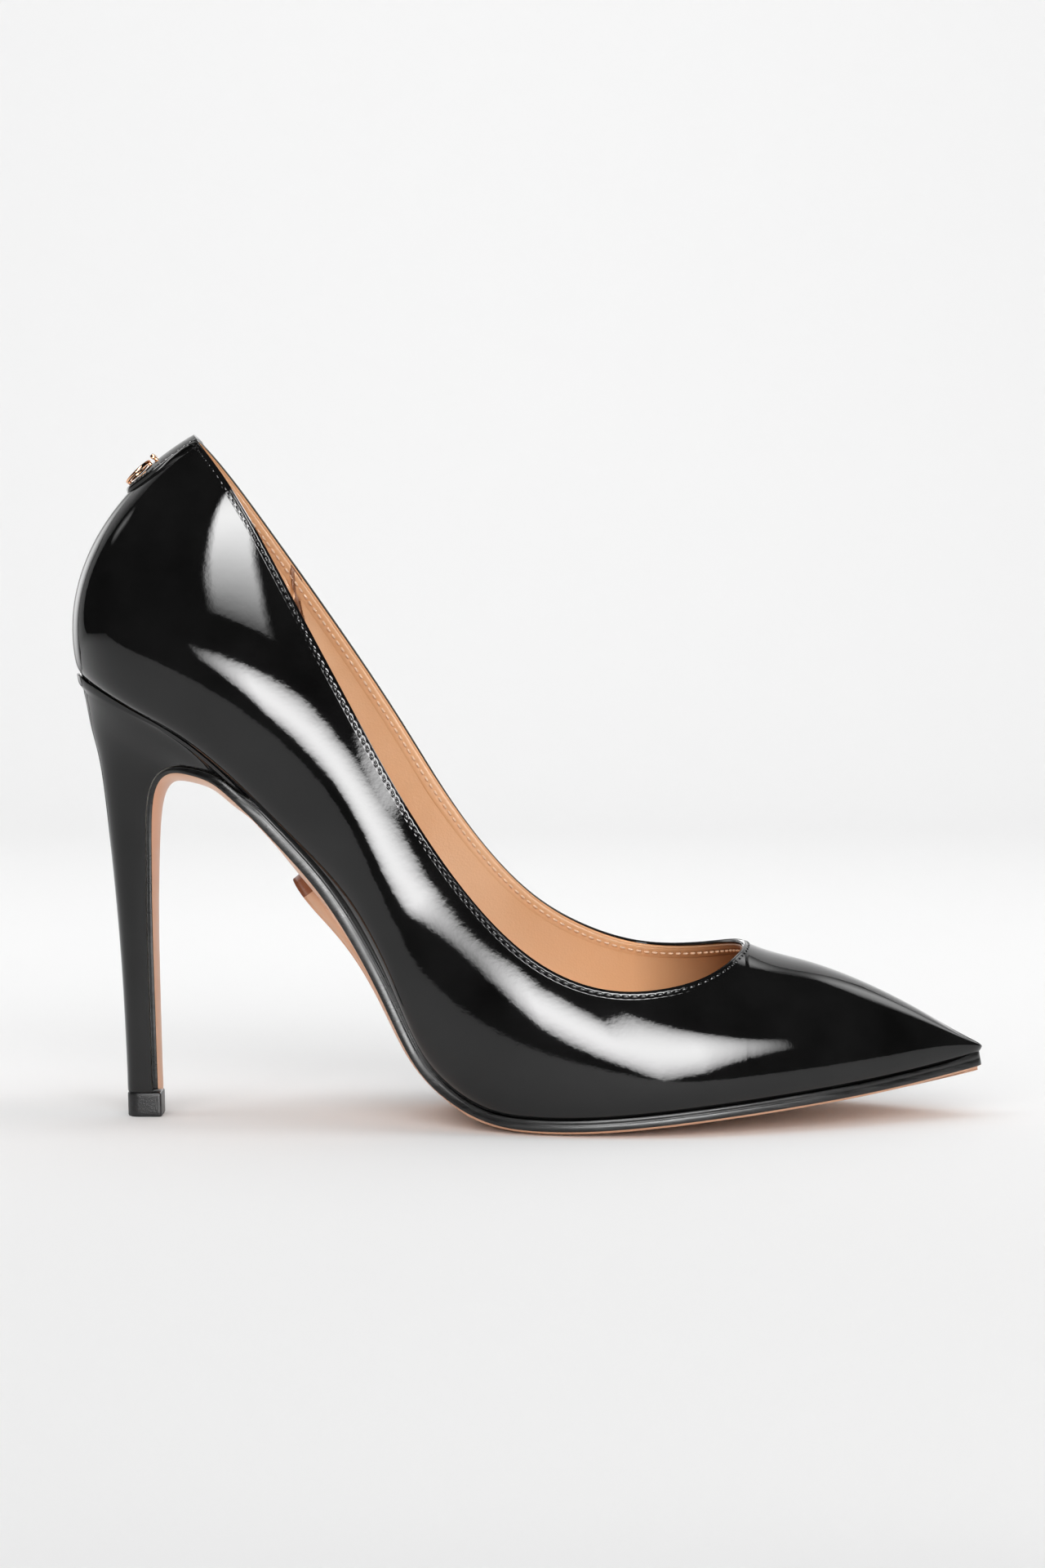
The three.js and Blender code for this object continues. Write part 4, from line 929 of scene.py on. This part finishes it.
def make_tab_stitches():
    build = Builder()
    s = np.linspace(0, 1, 400)
    low = TAB_STITCH_INSET / TAB_UP
    w = low + (1 - np.cos(s * np.pi / 2)) ** 3 * (0.93 - low)
    for side in (OUTER, INNER):
        u = side * (1 - TAB_STITCH_INSET / TAB_ACROSS) * np.sin(s * np.pi / 2)
        path, normals = tab_surface(u, w, np.full(u.shape, TAB_THICKNESS + 0.18))
        run = np.concatenate([[0], np.cumsum(np.linalg.norm(np.diff(path, axis=0), axis=1))])
        for k in range(int(run[-1] / TAB_STITCH_PITCH)):
            start = k * TAB_STITCH_PITCH + 0.3
            end = start + TAB_STITCH_LENGTH
            ends = [np.array([np.interp(x, run, path[:, c]) for c in range(3)]) for x in (start, end)]
            out = np.array([np.interp((start + end) / 2, run, normals[:, c]) for c in range(3)])
            capsule_mesh(build, ends[0], ends[1], 0.2, bow=out * 0.12)
    build.piece("tab_stitches", [THREAD_BLACK], "patent")


RING_RADIUS = 3.5
RING_HALF_WIDTH = 0.62
RING_HALF_DEPTH = 0.42
STAND = 1.0
RING_DROP = 0.17
BAR_OFFSET = 5.4
BAR_SIZE = 1.15
BAR_HALF = 2.8


def tab_axes():
    level = top_of(OUTER, np.array([0.0])) - RING_DROP
    centre = on_last(OUTER, np.array([0.0]), level[:, None])[0, 0]
    face = last_normal(OUTER, np.array([0.0]), level[:, None])[0, 0]
    up = np.array([face[2], 0, -face[0]])
    return centre + face * (TAB_GAP + TAB_THICKNESS + STAND), face, up


def make_ring():
    centre, face, up = tab_axes()
    side = np.array([0, 1.0, 0])
    turn = np.linspace(0, 2 * np.pi, 96, endpoint=False)
    spin = np.linspace(0, 2 * np.pi, 20, endpoint=False)
    radial = np.cos(turn)[:, None] * up + np.sin(turn)[:, None] * side
    rows = []
    for angle in spin:
        # a flattened section with a softly squared edge
        c = math.copysign(abs(math.cos(angle)) ** 0.7, math.cos(angle))
        s = math.copysign(abs(math.sin(angle)) ** 0.7, math.sin(angle))
        rows.append(centre + radial * (RING_RADIUS + c * RING_HALF_WIDTH) + face * (s * RING_HALF_DEPTH))
    build = Builder()
    grid = np.stack(rows, 1)
    grid = np.concatenate([grid, grid[:1]], 0)
    build.grid(grid, close=True)
    piece = build.piece("ring_detail", [GOLD], "gold", weld=0.001)
    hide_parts("ornament_ring")


def turned_rows(profile, centre, axis, segments=28):
    helper = np.array([0, 1.0, 0])
    across = unit(np.cross(axis, helper))
    third = np.cross(axis, across)
    turn = np.linspace(0, 2 * np.pi, segments, endpoint=False)
    ring = np.cos(turn)[:, None] * across + np.sin(turn)[:, None] * third
    return np.array([centre + axis * along + ring * radius for radius, along in profile])


def make_posts():
    centre, face, up = tab_axes()
    build = Builder()
    for offset, half in ((-RING_RADIUS, 0.3), (RING_RADIUS, 0.3), (BAR_OFFSET, 0.4)):
        top = centre + up * offset - face * half
        profile = [(0.001, 0), (0.5, 0), (0.5, 1.2), (0.62, 1.4), (0.72, 1.62), (0.72, 1.95), (0.001, 1.95)]
        build.grid(turned_rows(profile, top, -face), close=True)
    piece = build.piece("post_details", [GOLD], "gold", weld=0.005, sharp=50)
    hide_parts("ornament_post_1", "ornament_post_2", "ornament_post_3")


def make_bar():
    centre, face, up = tab_axes()
    middle = centre + up * BAR_OFFSET
    side = np.array([0, 1.0, 0])
    section = rounded_outline(BAR_SIZE, BAR_SIZE, 0.25, 0.25, 4)
    ending = [(BAR_HALF, 0.4), (BAR_HALF, 0.15), (BAR_HALF - 0.08, 0.05), (BAR_HALF - 0.3, 0.0)]
    rows = []
    for y, inset in [(-y, inset) for y, inset in ending] + ending[::-1]:
        shape = section * (1 - 2 * inset / BAR_SIZE)
        rows.append(middle + side * y + shape[:, :1] * face + shape[:, 1:] * up)
    build = Builder()
    build.grid(np.array(rows), close=True)
    build.fan(rows[0], flip=True)
    build.fan(rows[-1])
    piece = build.piece("bar_detail", [GOLD], "gold", weld=0.002, sharp=50)
    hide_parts("ornament_bar")


# ---- finishing the carried-over nodes ----
def dress_frame():
    looks = {
        "heel_counter": BOARD, "toe_puff": BOARD, "insole_board": BOARD,
        "shank_board": BOARD, "sock_foam": FOAM, "bottom_filler": FOAM, "heel_core": PLASTIC,
    }
    for name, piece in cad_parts.items():
        look = looks.get(name, STEEL)
        piece.data.materials.clear()
        piece.data.materials.append(look)


# ---- stage, light and camera, in metres ----
PALE = 0.88
FLOOR_FRONT = -0.42
FLOOR_BACK = 1.0
FLOOR_CURVE = 0.7
BACKDROP_TOP = 2.4
STAGE_HALF = 2.5
SHEET_STEPS = 16
FRONT = -0.38


def area_light(name, place, target, width, height, power):
    """Light for the floor, the backdrop and the lining, unseen in the patent."""
    data = bpy.data.lights.new(name, "AREA")
    data.shape = "RECTANGLE"
    data.size = width
    data.size_y = height
    data.energy = power
    light = bpy.data.objects.new(name, data)
    light.location = place
    light.rotation_euler = (Vector(target) - Vector(place)).to_track_quat("-Z", "Y").to_euler()
    light.visible_glossy = False
    bpy.context.scene.collection.objects.link(light)


def plain_material(name, tone):
    made, _, shader = material(name)
    shader.inputs["Base Color"].default_value = (*tone, 1)
    shader.inputs["Roughness"].default_value = 0.95
    shader.inputs["Specular IOR Level"].default_value = 0.05
    return made


def make_stage():
    """A floor that curves up into the backdrop without an edge."""
    turn = np.linspace(0, math.pi / 2, 25)
    rise = [(FLOOR_BACK + FLOOR_CURVE * math.sin(t), FLOOR_CURVE * (1 - math.cos(t))) for t in turn]
    profile = [(FLOOR_FRONT, 0.0)] + rise + [(FLOOR_BACK + FLOOR_CURVE, BACKDROP_TOP)]
    verts = [(x, y, z) for y, z in profile for x in (-STAGE_HALF, STAGE_HALF)]
    faces = [(2 * k, 2 * k + 1, 2 * k + 3, 2 * k + 2) for k in range(len(profile) - 1)]
    mesh = bpy.data.meshes.new("floor")
    mesh.from_pydata(verts, [], faces)
    mesh.polygons.foreach_set("use_smooth", [True] * len(faces))
    mesh.materials.append(plain_material("pale_floor", grey(PALE)))
    floor = bpy.data.objects.new("floor", mesh)
    bpy.context.scene.collection.objects.link(floor)
    world = bpy.data.worlds.new("studio")
    world.use_nodes = True
    background = world.node_tree.nodes["Background"]
    background.inputs["Color"].default_value = (*grey(PALE), 1)
    background.inputs["Strength"].default_value = 1
    # a pale surround that neither lights the shoe nor shows in the patent
    world.cycles_visibility.glossy = False
    world.cycles_visibility.diffuse = False
    bpy.context.scene.world = world
    bpy.context.scene.view_settings.view_transform = "Standard"


def softbox(name, outline, strength, tilt=(1, 1)):
    """An upright glowing sheet seen only in reflections. outline is a row of (x, y, lowest z, highest z);
    tilt is the glow at the low and the high edge."""
    verts = []
    glow = []
    faces = []
    across = SHEET_STEPS + 1
    for r, (x, y, low, high) in enumerate(outline):
        end = 1 if 0 < r < len(outline) - 1 else 0.05
        for k in range(across):
            s = k / SHEET_STEPS
            verts.append((x, y, low + (high - low) * s))
            fade = math.sin(math.pi * min(max(s, 0.01), 0.99)) ** 0.6
            glow.append(end * fade * (tilt[0] + (tilt[1] - tilt[0]) * s))
    for r in range(len(outline) - 1):
        for k in range(SHEET_STEPS):
            a = r * across + k
            faces.append((a, a + 1, a + across + 1, a + across))
    mesh = bpy.data.meshes.new(name)
    mesh.from_pydata(verts, [], faces)
    layer = mesh.attributes.new("glow", "FLOAT", "POINT")
    layer.data.foreach_set("value", glow)
    made, tree, shader = material(name + "_light")
    tree.nodes.remove(shader)
    attribute = node(tree, "ShaderNodeAttribute", attribute_name="glow")
    gain = node(tree, "ShaderNodeMath", operation="MULTIPLY")
    gain.inputs[1].default_value = strength
    tree.links.new(attribute.outputs["Fac"], gain.inputs[0])
    light = node(tree, "ShaderNodeEmission")
    tree.links.new(gain.outputs["Value"], light.inputs["Strength"])
    tree.links.new(light.outputs["Emission"], tree.nodes["Material Output"].inputs["Surface"])
    mesh.materials.append(made)
    sheet = bpy.data.objects.new(name, mesh)
    sheet.visible_camera = False
    sheet.visible_diffuse = False
    sheet.visible_shadow = False
    bpy.context.scene.collection.objects.link(sheet)


def make_lights():
    area_light("overhead", (0, 0.3, 1.9), (0, 0.3, 0), 3.0, 2.0, 23)
    area_light("backdrop_light", (0, 0.0, 1.2), (0, 1.6, 0.6), 3.0, 0.8, 14)
    area_light("front_fill", (0, -1.8, 1.0), (0, 0, 0.1), 2.6, 1.6, 38)
    # light for the sole, blocked while the floor is there
    area_light("underneath", (0, 0, -1.2), (0, 0, 0), 2.0, 2.0, 12)
    # sheets of light that shape the highlights of the patent
    softbox("low_box", [(-0.17, FRONT, 0.08, 0.11), (-0.08, FRONT, 0.04, 0.12), (0.06, FRONT, 0.02, 0.12),
                        (0.12, FRONT, 0.0, 0.17), (0.22, FRONT, 0.03, 0.2), (0.5, FRONT, 0.17, 0.26)], 25)
    softbox("high_box", [(-0.11, FRONT, 0.2, 0.62), (-0.09, FRONT, 0.2, 0.66), (0.0, FRONT, 0.19, 0.68),
                         (0.02, FRONT, 0.19, 0.7)], 25, tilt=(0.5, 1.4))
    softbox("inner_box", [(-0.18, 0.6, 0.06, 0.16), (-0.1, 0.6, 0.05, 0.2), (0.04, 0.6, 0.05, 0.2),
                          (0.12, 0.6, 0.06, 0.16)], 4)
    softbox("toe_box", [(0.66, 0.3, 0.35, 0.7), (0.58, 0.42, 0.35, 0.75), (0.45, 0.52, 0.35, 0.75),
                        (0.34, 0.6, 0.35, 0.7)], 2.6)
    softbox("back_box", [(-0.33, 0.64, 0.0, 0.4), (-0.44, 0.55, 0.0, 0.45), (-0.5, 0.5, 0.0, 0.4),
                         (-0.56, 0.43, 0.05, 0.35)], 2.2)
    softbox("tab_box", [(-0.68, 0.33, 0.52, 0.68), (-0.72, 0.27, 0.5, 0.7), (-0.76, 0.2, 0.52, 0.68)], 1.5)


def make_camera():
    data = bpy.data.cameras.new("camera")
    data.sensor_fit = "VERTICAL"
    data.sensor_height = 36
    data.lens = 72.6
    camera = bpy.data.objects.new("camera", data)
    camera.location = (-0.0022, -0.8, 0.1303)
    look_down = 3.29
    camera.rotation_euler = (math.radians(90 - look_down), 0, 0)
    bpy.context.scene.collection.objects.link(camera)
    bpy.context.scene.camera = camera


make_camera()
make_stage()
make_lights()
make_upper()
make_lining()
make_sock()
make_topline()
make_topline_stitches()
make_outsole()
make_tread()
make_heel_cover()
make_top_lift()
make_tab()
make_tab_stitches()
make_ring()
make_posts()
make_bar()
dress_frame()
